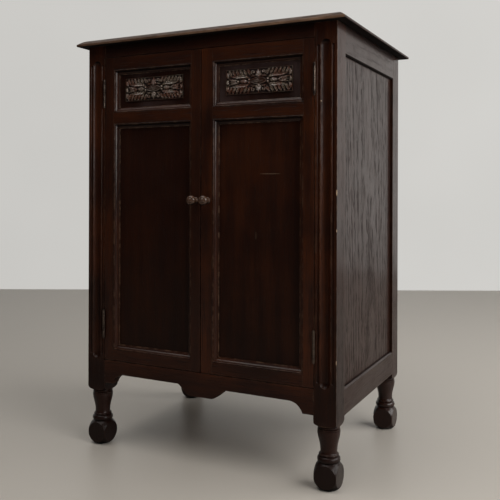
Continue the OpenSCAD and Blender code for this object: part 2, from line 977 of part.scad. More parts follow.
// turned knob with a base collar, a thin neck, a domed face and a ring on it
function knob_outline() = concat(
    [[0, -14], [4, -14], [4, 0], [knob_r * 0.66, 0], [knob_r * 0.66, 2.2]],
    [for (i = [0:6]) [knob_r * (0.42 + 0.2 * pow(1 - i / 6, 2)), 2.6 + 8 * i / 6]],
    [[knob_r * 0.55, knob_l - 15]],
    arc([knob_r - 6, knob_l - 7.5], 6, -55, 62, 10),
    [[knob_r * 0.62, knob_l - 2], [knob_r * 0.52, knob_l - 2.4], [knob_r * 0.42, knob_l - 1.4],
     [knob_r * 0.22, knob_l - 0.3], [0, knob_l]]
);

module knob() {
    color(oak)
        translate([knob_x, front_y, knob_z])
            rotate([90, 0, 0])
                rotate_extrude()
                    polygon(knob_outline());
}

// one half of a butt hinge about the Z axis: the leaf runs along +Y at x = off to off + leaf_t,
// and the half holds the knuckles of its own parity
module hinge_half(off, parity) {
    step = hinge_l / knuckles;
    translate([off, leaf_start, -hinge_l / 2])
        cube([leaf_t, leaf_w - leaf_start, hinge_l]);
    for (i = [parity:2:knuckles - 1])
        translate([0, 0, -hinge_l / 2 + step * i + knuckle_gap / 2])
            difference() {
                union() {
                    cylinder(h = step - knuckle_gap, r = knuckle_r);
                    translate([off, 0, 0])
                        cube([leaf_t, leaf_start + eps, step - knuckle_gap]);
                }
                translate([0, 0, -1])
                    cylinder(h = step + 2, r = hinge_pin_r + run);
            }
}

module hinge_pin() {
    translate([0, 0, -hinge_l / 2 - 1])
        cylinder(h = hinge_l + 2, r = hinge_pin_r);
    for (z = [-hinge_l / 2 - 2.2, hinge_l / 2 + knuckle_gap])
        translate([0, 0, z])
            cylinder(h = 1.9, r = hinge_pin_r + 0.9);
}

module at_door_hinges() {
    for (z = door_hinge_zs)
        translate([door_pin_x, door_pin_y, z])
            children();
}

// at a lid hinge X runs to the back, Y up and Z along the hinge line
module at_lid_hinges() {
    for (x = [-lid_hinge_x, lid_hinge_x])
        translate([x, lid_pin_y, lid_pin_z])
            rotate([90, 0, 90])
                children();
}

module door_hinge_leaves() {
    color(brass)
        at_door_hinges()
            mirror([1, 0, 0])
                hinge_half(door_leaf_off, 1);
}

module carcass_hinge_leaves() {
    color(brass) {
        both_sides()
            at_door_hinges()
                hinge_half(door_leaf_off, 0);
        at_lid_hinges()
            rotate([0, 0, 180])
                hinge_half(lid_leaf_off, 0);
    }
}

module lid_hinge_leaves() {
    color(brass)
        at_lid_hinges()
            rotate([0, 0, 90])
                hinge_half(lid_leaf_off, 1);
}

module hinge_pins() {
    color(brass) {
        both_sides()
            at_door_hinges()
                hinge_pin();
        at_lid_hinges()
            hinge_pin();
    }
}

// ---- lid ----

// one edge of the lid from below: square edge, small step and a slope that swells a little
function lid_edge(half) = concat(
    [[half - 0.8, 0], [half, 0.8], [half, lid_edge_h]],
    [for (i = [0:8])
        [half - 1.2 - lid_slope * i / 8,
         lid_edge_h + 0.4 + (lid_t - lid_edge_h - 0.4) * i / 8 + 4 * lid_swell * i / 8 * (1 - i / 8)]]
);

// section of the whole lid
function lid_outline(half) =
    let (edge = lid_edge(half))
    concat(edge, [for (i = [len(edge) - 1:-1:0]) [-edge[i][0], edge[i][1]]]);

module lid() {
    half_w = side_x + lid_side;
    half_d = back_y + lid_front;
    color(oak)
        translate([0, 0, case_h])
            intersection() {
                plate_xz(-half_d - 1, half_d + 1, lid_outline(half_w));
                plate_yz(-half_w - 1, half_w + 1, lid_outline(half_d));
            }
}

// part of a ring about the hinge line, in the plane of the stay, from angle a0 over span degrees
module stay_arc(x, t, r0, r1, a0, span) {
    translate([x - t / 2, lid_pin_y, lid_pin_z])
        rotate([90, 0, 90])
            rotate([0, 0, 180 + a0])
                rotate_extrude(angle = span)
                    translate([r0, 0])
                        square([r1 - r0, t]);
}

module lid_stay() {
    r0 = stay_r - stay_w / 2;
    r1 = stay_r + stay_w / 2;
    foot_w = 18;
    foot_t = 1.5;
    color(brass) {
        stay_arc(stay_x, stay_t, r0, r1, stay_top_a, stay_low_a - stay_top_a);
        block([stay_x - stay_t / 2, lid_pin_y - r1, lid_pin_z - r0 * sin(stay_top_a) - 2],
              [stay_x + stay_t / 2, lid_pin_y - r0, case_h]);
        block([stay_x - stay_t / 2, lid_pin_y - r1 - 3, case_h - foot_t],
              [stay_x - stay_t / 2 + foot_w, lid_pin_y - r0 + 3, case_h]);
        // stop pin near the lower end
        rod_x(stay_x - stay_t / 2 - 3, stay_x + stay_t / 2 + 3, lid_pin_y - stay_r * cos(stay_stop_a),
              lid_pin_z - stay_r * sin(stay_stop_a), 2.5);
    }
}

module stay_guide() {
    half_r = stay_w / 2 + 3.5;
    half_h = 4;
    color(brass)
        difference() {
            translate([-lining_x, lid_pin_y, lid_pin_z])
                rotate([stay_guide_a, 0, 0])
                    translate([0, -stay_r - half_r, -half_h])
                        cube([stay_x + stay_t / 2 + 4 + lining_x, 2 * half_r, 2 * half_h]);
            stay_arc(stay_x, stay_t + 2 * clear, stay_r - stay_w / 2 - clear,
                     stay_r + stay_w / 2 + clear, stay_guide_a - 8, 16);
        }
}

// ---- turntable and motor ----

// spur gear outline with straight flanks, a tooth lying on +X
function gear_outline(teeth) =
    let (
        pitch_r = tooth_module * teeth / 2,
        tip_r = pitch_r + 0.75 * tooth_module,
        root_r = pitch_r - 1.15 * tooth_module,
        half = 0.19 * PI * tooth_module,
        lean = 0.30,
        tip_half = half - (tip_r - pitch_r) * lean,
        root_half = half + (pitch_r - root_r) * lean
    )
    [for (i = [0:teeth - 1]) for (p = [[root_r, -root_half], [tip_r, -tip_half],
                                      [tip_r, tip_half], [root_r, root_half]])
        let (a = 360 * i / teeth + p[1] / p[0] * 180 / PI)
        p[0] * [cos(a), sin(a)]];

module gear(at, z, h, teeth, turn) {
    translate([at[0], at[1], z])
        rotate([0, 0, turn])
            linear_extrude(h)
                polygon(gear_outline(teeth));
}

// a pinion has a gap, not a tooth, on the line towards its wheel
function pinion_turn(line) = line + 180 / pinion_teeth;

module platter() {
    rim_t = 4;
    rim_h = 14;
    color(iron)
        difference() {
            union() {
                upright(spin, platter_z, felt_z, platter_r);
                difference() {
                    upright(spin, felt_z - rim_h, felt_z, platter_r);
                    upright(spin, felt_z - rim_h - 1, felt_z - 1, platter_r - rim_t);
                }
                upright(spin, deck_z + 5, felt_z, 14);
            }
            upright(spin, deck_z, felt_z + 1, spindle_r);
        }
}

module platter_felt() {
    color(felt_green)
        difference() {
            upright(spin, felt_z, record_z, platter_r - 1);
            upright(spin, felt_z - 1, record_z + 1, spindle_r);
        }
}

module spindle() {
    color(nickel) {
        upright(spin, frame_low + shaft_play, record_z, spindle_r);
        upright(spin, record_z, record_z + pin_h, pin_r);
        translate([spin[0], spin[1], record_z + pin_h])
            sphere(r = pin_r);
        gear(spin, wheel_z - 1, pinion_t, pinion_teeth, pinion_turn(180 - train_rise));
        upright(spin, fibre_z, fibre_z + fibre_t, fibre_r);
    }
}

module intermediate_gear() {
    color(brass) {
        upright(mid_shaft, frame_low + shaft_play, frame_top - shaft_play, shaft_r);
        gear(mid_shaft, barrel_gear_z - 1, pinion_t, pinion_teeth, pinion_turn(180 + train_rise));
        gear(mid_shaft, wheel_z, gear_t, wheel_teeth, -train_rise);
    }
}

module spring_barrel() {
    color(brass)
        difference() {
            union() {
                upright(barrel_at, barrel_z, barrel_gear_z, barrel_r);
                gear(barrel_at, barrel_gear_z, gear_t, wheel_teeth, train_rise);
            }
            upright(barrel_at, barrel_z - 1, barrel_gear_z + gear_t + 1, spindle_r + run);
        }
}

// upright arbor of the spring with its bevel wheel, drawn as a plain cone without teeth
module winding_arbor() {
    color(iron) {
        upright(barrel_at, frame_low + shaft_play, frame_top - shaft_play, spindle_r);
        upright(barrel_at, bevel_z + 1, bevel_top, bevel_r);
        translate([barrel_at[0], barrel_at[1], bevel_top])
            cylinder(h = bevel_h / 2, r1 = bevel_r, r2 = bevel_r - bevel_h);
    }
}

module winding_shaft() {
    color(iron)
        difference() {
            union() {
                rod_x(wind_end_x, barrel_at[0] - bevel_r, barrel_at[1], wind_z, wind_r);
                translate([barrel_at[0] - bevel_r, barrel_at[1], wind_z])
                    rotate([0, 90, 0])
                        cylinder(h = bevel_h, r1 = wind_r, r2 = wind_r - bevel_h / 2);
            }
            rod_x(wind_end_x - 1, wind_end_x + socket_l, barrel_at[1], wind_z, socket_r);
        }
}

// shaft with a worm body, two collars, three weights on flat springs, and the friction disc
module governor() {
    x0 = spin[0] - 34;
    x1 = frame_x1 - 4;
    spring_r = governor_r - 3.8;
    color(brass)
        translate([0, governor_y, governor_z]) {
            rod_x(x0, x1, 0, 0, governor_pin_r);
            rod_x(x0 + 16, x0 + 46, 0, 0, worm_r);
            for (x = [x0 + 50, x0 + 88])
                rod_x(x, x + 6, 0, 0, governor_r - 3.4);
            rod_x(x0 + 98, x0 + 101, 0, 0, governor_r);
            for (i = [0:2])
                rotate([120 * i, 0, 0]) {
                    block([x0 + 53, -1.5, spring_r - 0.3], [x0 + 91, 1.5, spring_r + 0.3]);
                    translate([x0 + 72, 0, spring_r - 1.5])
                        cylinder(h = 4.5, r = 4);
                }
        }
}

module motor_frame() {
    low = frame_low;
    bearing_z = governor_z - 7;
    inset = 10;
    color(iron)
        difference() {
            union() {
                block([frame_x0, frame_y0, frame_top - plate_t], [frame_x1, frame_y1, frame_top]);
                block([frame_x0, frame_y0, low], [frame_x1, frame_y1, low + low_plate_t]);
                for (x = [frame_x0 + inset, frame_x1 - inset])
                    for (y = [frame_y0 + inset, frame_y1 - inset])
                        upright([x, y], low, frame_top, 6);
                for (x = [spin[0] - 36, frame_x1 - 8])
                    block([x, governor_y - 6, bearing_z], [x + 6, governor_y + 6, frame_top]);
                block([frame_x0 + 8, barrel_at[1] - 11, wind_z - 11],
                      [frame_x0 + 18, barrel_at[1] + 11, frame_top]);
            }
            for (at = [spin, barrel_at])
                upright(at, low - 1, frame_top + 1, spindle_r + run);
            upright(mid_shaft, low - 1, frame_top + 1, shaft_r + run);
            rod_x(spin[0] - 40, frame_x1 + 1, governor_y, governor_z, governor_pin_r + run);
            rod_x(frame_x0 - 1, frame_x0 + 20, barrel_at[1], wind_z, wind_r + run);
        }
}

module crank_escutcheon() {
    color(nickel)
        difference() {
            rod_x(-panel_out_x - 2, -panel_out_x, barrel_at[1], wind_z, 20);
            rod_x(-side_x, 0, barrel_at[1], wind_z, wind_r + run);
        }
}

// ---- pieces on the motor board ----

module arm_base() {
    color(nickel)
        difference() {
            union() {
                upright(arm_at, deck_z, deck_z + 5, 30);
                upright(arm_at, deck_z, arm_base_top, arm_foot_r + 5);
            }
            upright(arm_at, deck_z - 1, arm_base_top + 1, arm_foot_r + run);
        }
}

// the arm's foot and bend, outside (wall 0) or inside
module arm_bend_shape(wall) {
    step_z = arm_base_top + clear + 6 - wall;
    over = wall > 0 ? 1 : 0;
    upright(arm_at, deck_z + clear - over, step_z, arm_foot_r - wall);
    upright(arm_at, step_z - eps, arm_z - arm_bend, arm_thick_r - wall);
    translate([arm_at[0], arm_bend_y, arm_z - arm_bend])
        rotate([90, 0, 90])
            rotate_extrude(angle = 90)
                translate([arm_bend, 0])
                    circle(r = arm_thick_r - wall);
}

module along_arm(y, l, r1, r2) {
    translate([arm_at[0], y, arm_z])
        rotate([90, 0, 0])
            cylinder(h = l, r1 = r1, r2 = r2);
}

module tone_arm() {
    bore_l = 14;
    bore_r = arm_thin_r - arm_wall;
    collar_z = arm_base_top + clear;
    color(nickel)
        difference() {
            union() {
                arm_bend_shape(0);
                upright(arm_at, collar_z, collar_z + 4, arm_foot_r + 3);
                along_arm(arm_bend_y, arm_bend_y - arm_end_y, arm_thick_r, arm_thin_r);
                along_arm(arm_end_y + 10, 10, arm_thin_r + 2, arm_thin_r + 2);
            }
            arm_bend_shape(arm_wall);
            along_arm(arm_bend_y + eps, arm_bend_y - arm_end_y - bore_l, arm_thick_r - arm_wall,
                      bore_r + 0.5);
            along_arm(arm_end_y + bore_l + 1, bore_l + 2, bore_r, bore_r);
        }
}

module neck_shape(r, over) {
    along_arm(arm_end_y + 10 + over, 18 + over, r, r);
    translate([arm_at[0] - neck_bend, neck_start_y, arm_z])
        rotate([0, 0, -90])
            rotate_extrude(angle = 90)
                translate([neck_bend, 0])
                    circle(r = r);
    rod_x(box_x - over, arm_at[0] - neck_bend, box_y, arm_z, r);
}

module gooseneck() {
    outer = arm_thin_r - arm_wall - run;
    color(nickel)
        difference() {
            union() {
                neck_shape(outer, 0);
                along_arm(arm_end_y - clear, 6, arm_thin_r + 1, arm_thin_r + 1);
            }
            neck_shape(outer - arm_wall, 1);
        }
}

module sound_box() {
    r = sound_box_r;
    t = sound_box_t;
    color(nickel) {
        translate([box_x, box_y, arm_z])
            rotate([0, -90, 0])
                rotate_extrude()
                    polygon([[0, 0], [13, 0], [13, 2], [r - 3, 4], [r, 5.5], [r, t], [r - 5, t],
                             [r - 6, t - 3], [0, t - 3]]);
        // needle bar, chuck and needle
        translate([box_x - t + 1.5, box_y, arm_z]) {
            block([-1.5, -1.5, -r - 4], [0.5, 1.5, 2]);
            translate([0, 0, -r - 1])
                rotate([158, 0, 0]) {
                    cylinder(h = 10, r = 2.4);
                    cylinder(h = 21.5, r1 = 1.1, r2 = 0.3);
                }
        }
    }
}

module needle_cups() {
    cup_r = 17;
    cup_h = 11;
    cup_wall = 2.5;
    at = [lining_x - 49, deck_front_y + 46];
    color(nickel)
        for (i = [0, 1])
            translate([at[0], at[1] + i * (2 * cup_r + 14), deck_z])
                difference() {
                    cylinder(h = cup_h, r = cup_r);
                    translate([0, 0, cup_wall])
                        cylinder(h = cup_h, r = cup_r - cup_wall);
                }
}

module brake_lever() {
    reach = 22;
    turn = 120;
    at = spin - (platter_r + reach) * [cos(turn), sin(turn)];
    color(nickel)
        translate([at[0], at[1], deck_z]) {
            translate([0, 0, 0.3])
                cylinder(h = 14, r = 6);
            rotate([0, 0, turn]) {
                block([-24, -4, 9], [reach - 0.8, 4, 13]);
                translate([-24, 0, 9])
                    cylinder(h = 9, r = 5);
            }
        }
}

module speed_lever() {
    color(nickel)
        translate([-lining_x + 49, deck_front_y + 41, deck_z + 0.3]) {
            cylinder(h = 2, r = 14);
            cylinder(h = 11, r = 7);
            block([-2, 0, 1], [2, 24, 4]);
        }
}

module crank_arm() {
    r = crank_rod_r;
    color(nickel) {
        rod_x(crank_x - crank_rod_l, crank_x, crank_y0, crank_z, r);
        translate([crank_x, crank_y1, crank_z])
            rotate([90, 0, 0])
                cylinder(h = crank_y1 - crank_y0, r = r);
        for (y = [crank_y0, crank_y1])
            translate([crank_x, y, crank_z])
                sphere(r = r);
        rod_x(crank_x, crank_x + 6, crank_y1, crank_z, r);
        rod_x(crank_x, crank_x + crank_grip_l + 9, crank_y1, crank_z, crank_pin_r);
        rod_x(crank_x + crank_grip_l + 7.5, crank_x + crank_grip_l + 10, crank_y1, crank_z, crank_pin_r + 2);
    }
}

module crank_grip() {
    bore = crank_pin_r + run;
    l = crank_grip_l;
    color(oak)
        translate([crank_x + 6 + clear, crank_y1, crank_z])
            rotate([0, 90, 0])
                rotate_extrude()
                    polygon(concat(
                        [[bore, 0], [7, 0]],
                        [for (i = [0:10]) [crank_grip_r - 3.5 * pow(i / 5 - 1, 2), 1 + (l - 2) * i / 10]],
                        [[7, l], [bore, l]]
                    ));
}

// two blocks with half-round seats that hold the handle when it is put away
module crank_clips() {
    clip_w = 16;
    clip_t = 12;
    color(inner_wood)
        difference() {
            union() {
                block([crank_x - 40, crank_y0 - clip_w / 2, deck_z],
                      [crank_x - 40 + clip_t, crank_y0 + clip_w / 2, crank_z]);
                block([crank_x - clip_w / 2, crank_y1 - crank_throw / 2 - clip_t / 2, deck_z],
                      [crank_x + clip_w / 2, crank_y1 - crank_throw / 2 + clip_t / 2, crank_z]);
            }
            rod_x(crank_x - crank_rod_l, crank_x, crank_y0, crank_z, socket_r);
            translate([crank_x, crank_y1, crank_z])
                rotate([90, 0, 0])
                    cylinder(h = crank_y1 - crank_y0, r = socket_r);
        }
}

// ---- the two doors ----

module left_door_stiles() {
    on_side(LEFT)
        door_stiles(LEFT);
}

module left_door_rails() {
    on_side(LEFT)
        door_rails(LEFT);
}

module left_upper_panel() {
    on_side(LEFT)
        upper_panel();
}

module left_lower_panel() {
    on_side(LEFT)
        lower_panel();
}

module left_door_mouldings() {
    on_side(LEFT)
        door_mouldings();
}

module left_knob() {
    on_side(LEFT)
        knob();
}

module left_hinge_leaves() {
    on_side(LEFT)
        door_hinge_leaves();
}

module right_door_stiles() {
    on_side(RIGHT)
        door_stiles(RIGHT);
}

module right_door_rails() {
    on_side(RIGHT)
        door_rails(RIGHT);
}

module right_upper_panel() {
    on_side(RIGHT)
        upper_panel();
}

module right_lower_panel() {
    on_side(RIGHT)
        lower_panel();
}

module right_door_mouldings() {
    on_side(RIGHT)
        door_mouldings();
}

module right_knob() {
    on_side(RIGHT)
        knob();
}

module right_hinge_leaves() {
    on_side(RIGHT)
        door_hinge_leaves();
}

front_left_post();
front_right_post();
back_posts();
front_top_rail();
apron();
side_rails();
left_side_panel();
right_side_panel();
back_rails();
back_panel();
bottom_board();
cleats();
record_shelf();
record_dividers();
fascia_board();
horn();
horn_louvres();
horn_throat();
motor_board();
well_lining();
motor_frame();
arm_base();
needle_cups();
crank_escutcheon();
crank_clips();
crank_arm();
crank_grip();
carcass_hinge_leaves();
hinge_pins();
stay_guide();
lid();
lid_hinge_leaves();
lid_stay();
left_door_stiles();
left_door_rails();
left_upper_panel();
left_lower_panel();
left_door_mouldings();
left_knob();
left_hinge_leaves();
right_door_stiles();
right_door_rails();
right_upper_panel();
right_lower_panel();
right_door_mouldings();
right_knob();
right_hinge_leaves();
platter();
platter_felt();
spindle();
intermediate_gear();
spring_barrel();
winding_arbor();
governor();
winding_shaft();
tone_arm();
gooseneck();
sound_box();
brake_lever();
speed_lever();
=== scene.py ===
"""An oak gramophone cabinet: carving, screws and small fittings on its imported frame, and the finish
of every board, fitting and wheel."""

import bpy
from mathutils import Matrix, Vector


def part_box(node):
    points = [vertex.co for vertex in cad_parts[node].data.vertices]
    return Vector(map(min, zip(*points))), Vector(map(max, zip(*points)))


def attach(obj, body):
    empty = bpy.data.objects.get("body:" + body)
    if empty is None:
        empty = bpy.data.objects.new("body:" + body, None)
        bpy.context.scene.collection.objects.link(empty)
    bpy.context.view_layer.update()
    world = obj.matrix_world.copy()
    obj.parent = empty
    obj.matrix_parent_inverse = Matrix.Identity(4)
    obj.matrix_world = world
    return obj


bl_info = {
    "name": "Gramophone Cabinet",
    "version": (1, 0, 0),
    "blender": (4, 5, 0),
    "location": "3D View > Sidebar > Cabinet",
    "description": "Carves, fits and polishes an oak gramophone cabinet on its packed frame",
    "category": "Object",
}

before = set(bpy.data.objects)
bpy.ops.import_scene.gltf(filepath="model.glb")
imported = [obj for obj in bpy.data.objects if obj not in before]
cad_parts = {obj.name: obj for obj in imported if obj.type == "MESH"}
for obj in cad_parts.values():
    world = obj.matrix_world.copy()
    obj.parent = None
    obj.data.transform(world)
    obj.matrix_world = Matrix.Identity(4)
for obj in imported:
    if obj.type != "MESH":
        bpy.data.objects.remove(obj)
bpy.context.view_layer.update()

import math
from typing import NamedTuple
import bmesh
import bpy
from bpy.props import FloatProperty, FloatVectorProperty, IntProperty, PointerProperty
from mathutils import Matrix, Vector

LEFT, RIGHT = -1, 1
MM = 0.001


# ---- what a user may change ----

def colour(name, description, default):
    return FloatVectorProperty(name=name, description=description, default=default, size=3,
                               min=0, max=1, subtype="COLOR")


def length(name, description, default):
    return FloatProperty(name=name, description=description, default=default, min=0,
                         unit="LENGTH", subtype="DISTANCE", precision=5)


def amount(name, description, default, most=1.0):
    return FloatProperty(name=name, description=description, default=default, min=0, max=most)


class OakFinish(bpy.types.PropertyGroup):
    stain: colour("Stain", "Colour of the stained oak between its pores", (0.0170, 0.0054, 0.0031))
    pores: colour("Pores", "Colour of the open pores, where the stain is darkest",
                  (0.0050, 0.0019, 0.0012))
    glow: colour("Glow", "Red-brown of the oak where the polish is thin", (0.075, 0.0190, 0.0052))
    worn: colour("Worn", "Colour of the oak on worn arrises", (0.130, 0.074, 0.046))
    # the handled brown is wear on the lid's edge, made paler towards the right as a painted highlight
    handled: colour("Handled", "Brown of the lid's edge, paled by hands", (0.210, 0.125, 0.080))
    chipped: colour("Chipped", "Bare oak in chips and scratches", (0.55, 0.40, 0.27))
    ring: length("Ring width", "Distance between the growth rings", 0.0062)
    wear: length("Wear", "Width of the wear along the arrises", 0.0030)
    polish: amount("Polish", "How much of the polish is left", 0.50)
    dullness: amount("Dullness", "Roughness of the polished wood", 0.32)
    bare_shine: amount("Bare shine", "Gloss of the wood under its polish", 0.12)


class InnerFinish(bpy.types.PropertyGroup):
    board: colour("Boards", "Plain boards inside the cabinet", (0.190, 0.110, 0.058))
    horn: colour("Horn", "Varnished boards of the horn", (0.230, 0.120, 0.056))
    deck: colour("Motor board", "Polished board under the turntable", (0.100, 0.042, 0.021))
    felt: colour("Felt", "Felt of the turntable", (0.030, 0.085, 0.040))
    grip: colour("Grip", "Turned grip of the winding handle", (0.045, 0.018, 0.010))
    mica: colour("Mica", "Diaphragm of the sound box", (0.62, 0.56, 0.45))


class MetalFinish(bpy.types.PropertyGroup):
    brass: colour("Brass", "Aged brass of hinges and wheels", (0.46, 0.31, 0.12))
    tarnish: colour("Tarnish", "Brown skin on old brass", (0.105, 0.078, 0.062))
    grime: colour("Grime", "Old dirt on the hinges", (0.022, 0.016, 0.014))
    nickel: colour("Nickel", "Nickel plate", (0.62, 0.59, 0.54))
    dulled: colour("Dulled nickel", "Skin on old nickel plate", (0.26, 0.235, 0.20))
    iron: colour("Iron", "Black japanned iron", (0.018, 0.018, 0.019))
    steel: colour("Steel", "Bright steel", (0.46, 0.46, 0.46))
    oily: colour("Oil", "Brown film of old oil on the steel", (0.12, 0.105, 0.09))


class CarvingSizes(bpy.types.PropertyGroup):
    width: length("Width", "Width of the carved field", 0.164)
    height: length("Height", "Height of the carved field", 0.056)
    rise: length("Rise", "Height of the carving above its ground", 0.0042)
    patina: colour("Patina", "Olive-gold of the old polish in the carving", (0.070, 0.050, 0.030))
    # the crests' colour is rubbed wear together with a painted highlight on the tops of the carving
    rubbed_lit_crest: colour("Crests", "Rubbed tops of the carving", (0.270, 0.210, 0.180))
    ground: colour("Ground", "Dark ground between the leaves", (0.0240, 0.0170, 0.0160))
    dust: colour("Dust", "Grey bloom on the plain field round the carving", (0.066, 0.044, 0.043))


class FittingSizes(bpy.types.PropertyGroup):
    screw: length("Screw heads", "Radius of the hinges' screw heads", 0.0030)
    slot: length("Slots", "Width of the screws' slots", 0.0008)
    motor_screw: length("Motor screws", "Radius of the motor's screw heads", 0.0055)
    sides: IntProperty(name="Facets", description="Facets of a screw head", default=20, min=8,
                       max=64)


class StudioSettings(bpy.types.PropertyGroup):
    floor: colour("Floor", "Colour of the studio floor", (0.44, 0.41, 0.37))
    wall: colour("Wall", "Colour of the studio wall", (0.61, 0.60, 0.575))
    room: colour("Room", "Light of the rest of the room", (0.018, 0.017, 0.016))
    lens: FloatProperty(name="Lens", description="Focal length of the camera", default=50.43,
                        unit="CAMERA", min=10)
    stand: FloatVectorProperty(name="Camera stand", description="Where the camera stands",
                               default=(0.8175, -1.6127, 0.6326), size=3, precision=4,
                               unit="LENGTH", subtype="TRANSLATION")
    heading: FloatProperty(name="Heading", description="How far the camera is turned to the left",
                           default=math.radians(26.81), subtype="ANGLE")
    window: FloatProperty(name="Window light", description="Power of the soft light on the right",
                          default=120, min=0, subtype="POWER")
    ceiling: FloatProperty(name="Ceiling light", description="Power of the weak light from above",
                           default=54, min=0, subtype="POWER")


# ---- shader maths ----

class Value:
    """A socket in a sum. The operators add the Math nodes."""

    def __init__(self, finish, socket):
        self.finish = finish
        self.socket = socket

    def maths(self, operation, *terms):
        return self.finish.add("Math", {"operation": operation}, dict(enumerate(terms)))

    def __add__(self, other):
        return self.maths("ADD", self, other)

    def __sub__(self, other):
        return self.maths("SUBTRACT", self, other)

    def __rsub__(self, other):
        return self.maths("SUBTRACT", other, self)

    def __mul__(self, other):
        return self.maths("MULTIPLY", self, other)

    def __truediv__(self, other):
        return self.maths("DIVIDE", self, other)

    __radd__ = __add__
    __rmul__ = __mul__

    def sine(self):
        return self.maths("SINE", self)

    def root(self):
        return self.maths("SQRT", self)

    def size(self):
        return self.maths("ABSOLUTE", self)

    def part(self):
        return self.maths("FRACT", self)

    def below(self, limit):
        return self.maths("LESS_THAN", self, limit)

    def least(self, other):
        return self.maths("MINIMUM", self, other)

    def most(self, other):
        return self.maths("MAXIMUM", self, other)


class Finish:
    """A material in the making: its nodes, and the shader that they end in."""

    def __init__(self, name, **constants):
        self.material = bpy.data.materials.new(name)
        self.material.use_nodes = True
        self.tree = self.material.node_tree
        self.shader = self.tree.nodes["Principled BSDF"]
        for socket, value in constants.items():
            self.shader.inputs[socket.replace("_", " ")].default_value = value

    def add(self, kind, settings, sockets, output=0):
        """One node: its settings first, then its sockets."""
        node = self.tree.nodes.new("ShaderNode" + kind)
        for name, value in settings.items():
            if name == "stops":
                self.set_stops(node.color_ramp, value)
            else:
                setattr(node, name, value)
        for socket, value in sockets.items():
            self.feed(node.inputs[socket], value)
        return Value(self, node.outputs[output])

    def feed(self, socket, value):
        if isinstance(value, Value):
            self.tree.links.new(value.socket, socket)
        else:
            socket.default_value = (*value, 1.0) if socket.type == "RGBA" else value

    @staticmethod
    def set_stops(ramp, stops):
        while len(ramp.elements) < len(stops):
            ramp.elements.new(0.5)
        for element, (position, shade) in zip(ramp.elements, stops):
            element.position = position
            element.color = (*shade, 1.0)

    def place(self, turn=(0, 0, 0), shift=(0, 0, 0), stretch=(1, 1, 1)):
        """The piece's own coordinates in metres, stretched, turned and shifted."""
        own = self.add("TexCoord", {}, {}, "Object")
        return self.add("Mapping", {}, {"Vector": own, "Rotation": turn, "Location": shift,
                                        "Scale": stretch})

    def stretched(self, vector, scale):
        return self.add("VectorMath", {"operation": "MULTIPLY"}, {0: vector, 1: scale})

    def axes(self, vector):
        """The three parts of a vector."""
        parts = self.add("SeparateXYZ", {}, {"Vector": vector})
        return [Value(self, socket) for socket in parts.socket.node.outputs]

    def noise(self, vector, scale, detail=2.0, rough=0.5):
        return self.add("TexNoise", {}, {"Vector": vector, "Scale": scale, "Detail": detail,
                                         "Roughness": rough})

    def cells(self, vector, scale):
        return self.add("TexVoronoi", {}, {"Vector": vector, "Scale": scale})

    def rising(self, value, low, high):
        """0 below low, 1 above high and smooth between them."""
        return self.add("MapRange", {"interpolation_type": "SMOOTHSTEP"},
                        {"Value": value, "From Min": low, "From Max": high})

    def blend(self, share, a, b):
        return self.add("Mix", {"data_type": "RGBA"}, {0: share, 6: a, 7: b}, 2)

    def shaded(self, tone, factor):
        """A colour made lighter or darker by a factor."""
        grey = self.add("CombineXYZ", {}, {"X": factor, "Y": factor, "Z": factor})
        return self.add("Mix", {"data_type": "RGBA", "blend_type": "MULTIPLY"},
                        {0: 1.0, 6: tone, 7: grey}, 2)

    def round_angle(self, a, b):
        """The angle round an axis, from the two distances a and b to it."""
        return self.add("Math", {"operation": "ARCTAN2"}, {0: b, 1: a})

    def relief(self, height, depth, normal=None):
        """The normal after a bump of the given depth in metres."""
        sockets = {"Height": height, "Distance": depth}
        if normal:
            sockets["Normal"] = normal
        return self.add("Bump", {}, sockets)

    def eased(self, radius):
        """The normal over arrises rounded by a small radius."""
        return self.add("Bevel", {"samples": 4}, {"Radius": radius})

    def arrises(self, width):
        """1 on sharp outer edges, 0 on the flat."""
        inside = self.add("AmbientOcclusion", {"inside": True, "only_local": True, "samples": 6},
                          {"Distance": width}, "AO")
        return self.rising(1 - inside, 0.10, 0.55)

    def corners(self, reach, low=0.25, high=0.85):
        """1 in inner corners, where shade is painted, and 0 in the open."""
        outside = self.add("AmbientOcclusion", {"only_local": False, "samples": 6},
                           {"Distance": reach}, "AO")
        return self.rising(1 - outside, low, high)

    def looks(self, axis, low, high):
        """1 on faces that look along an axis (0, 1 or 2), 0 on the rest, between two cosines."""
        facing = self.add("TexCoord", {}, {}, "Normal")
        return self.rising(self.axes(facing)[axis], low, high)

    def glowing(self, tone):
        """The same colour to the camera and to glossy surfaces, whatever light falls on it."""
        rays = self.add("LightPath", {}, {}).socket.node.outputs
        seen = Value(self, rays["Is Camera Ray"]).most(Value(self, rays["Is Glossy Ray"]))
        seen = seen.most(Value(self, rays["Is Transmission Ray"]))
        light = self.add("Emission", {}, {"Color": tone})
        surface = Value(self, self.shader.outputs["BSDF"])
        mixed = self.add("MixShader", {}, {0: seen, 1: surface, 2: light})
        output = self.tree.nodes["Material Output"]
        self.tree.links.new(mixed.socket, output.inputs["Surface"])

    def paint(self, **sockets):
        """Feeds the shader, and gives the finished material."""
        for name, value in sockets.items():
            self.feed(self.shader.inputs[name.replace("_", " ")], value)
        return self.material


# ---- oak ----

GRAIN_TURNS = {"X": (0, -math.pi / 2, 0), "Y": (math.pi / 2, 0, 0), "Z": (0, 0, 0)}


class Board(NamedTuple):
    """How one CAD node's oak was cut, has aged and is shaded: the axis of its grain, the place of
    the tree's heart beside it, how much it glows and is worn, how far the heart leans and wanders,
    how strongly the figure shows, how far handling has paled it, its share of the polish, how much
    of that is left on its front, and how far painted shade reaches out of its corners."""
    grain: str
    heart: tuple
    glow: float = 0.3
    wear: float = 0.5
    lean: float = 0.02
    wander: float = 1.0
    figure: float = 0.35
    pale: float = 0.0
    polish: float = 1.0
    front: float = 1.0
    corner_shade: tuple = (14 * MM,)


# reach of the painted shadow where the lid shades a rail, and how dark a corner starts and ends it
UNDER_THE_LID = (40 * MM, 0.10, 0.48)
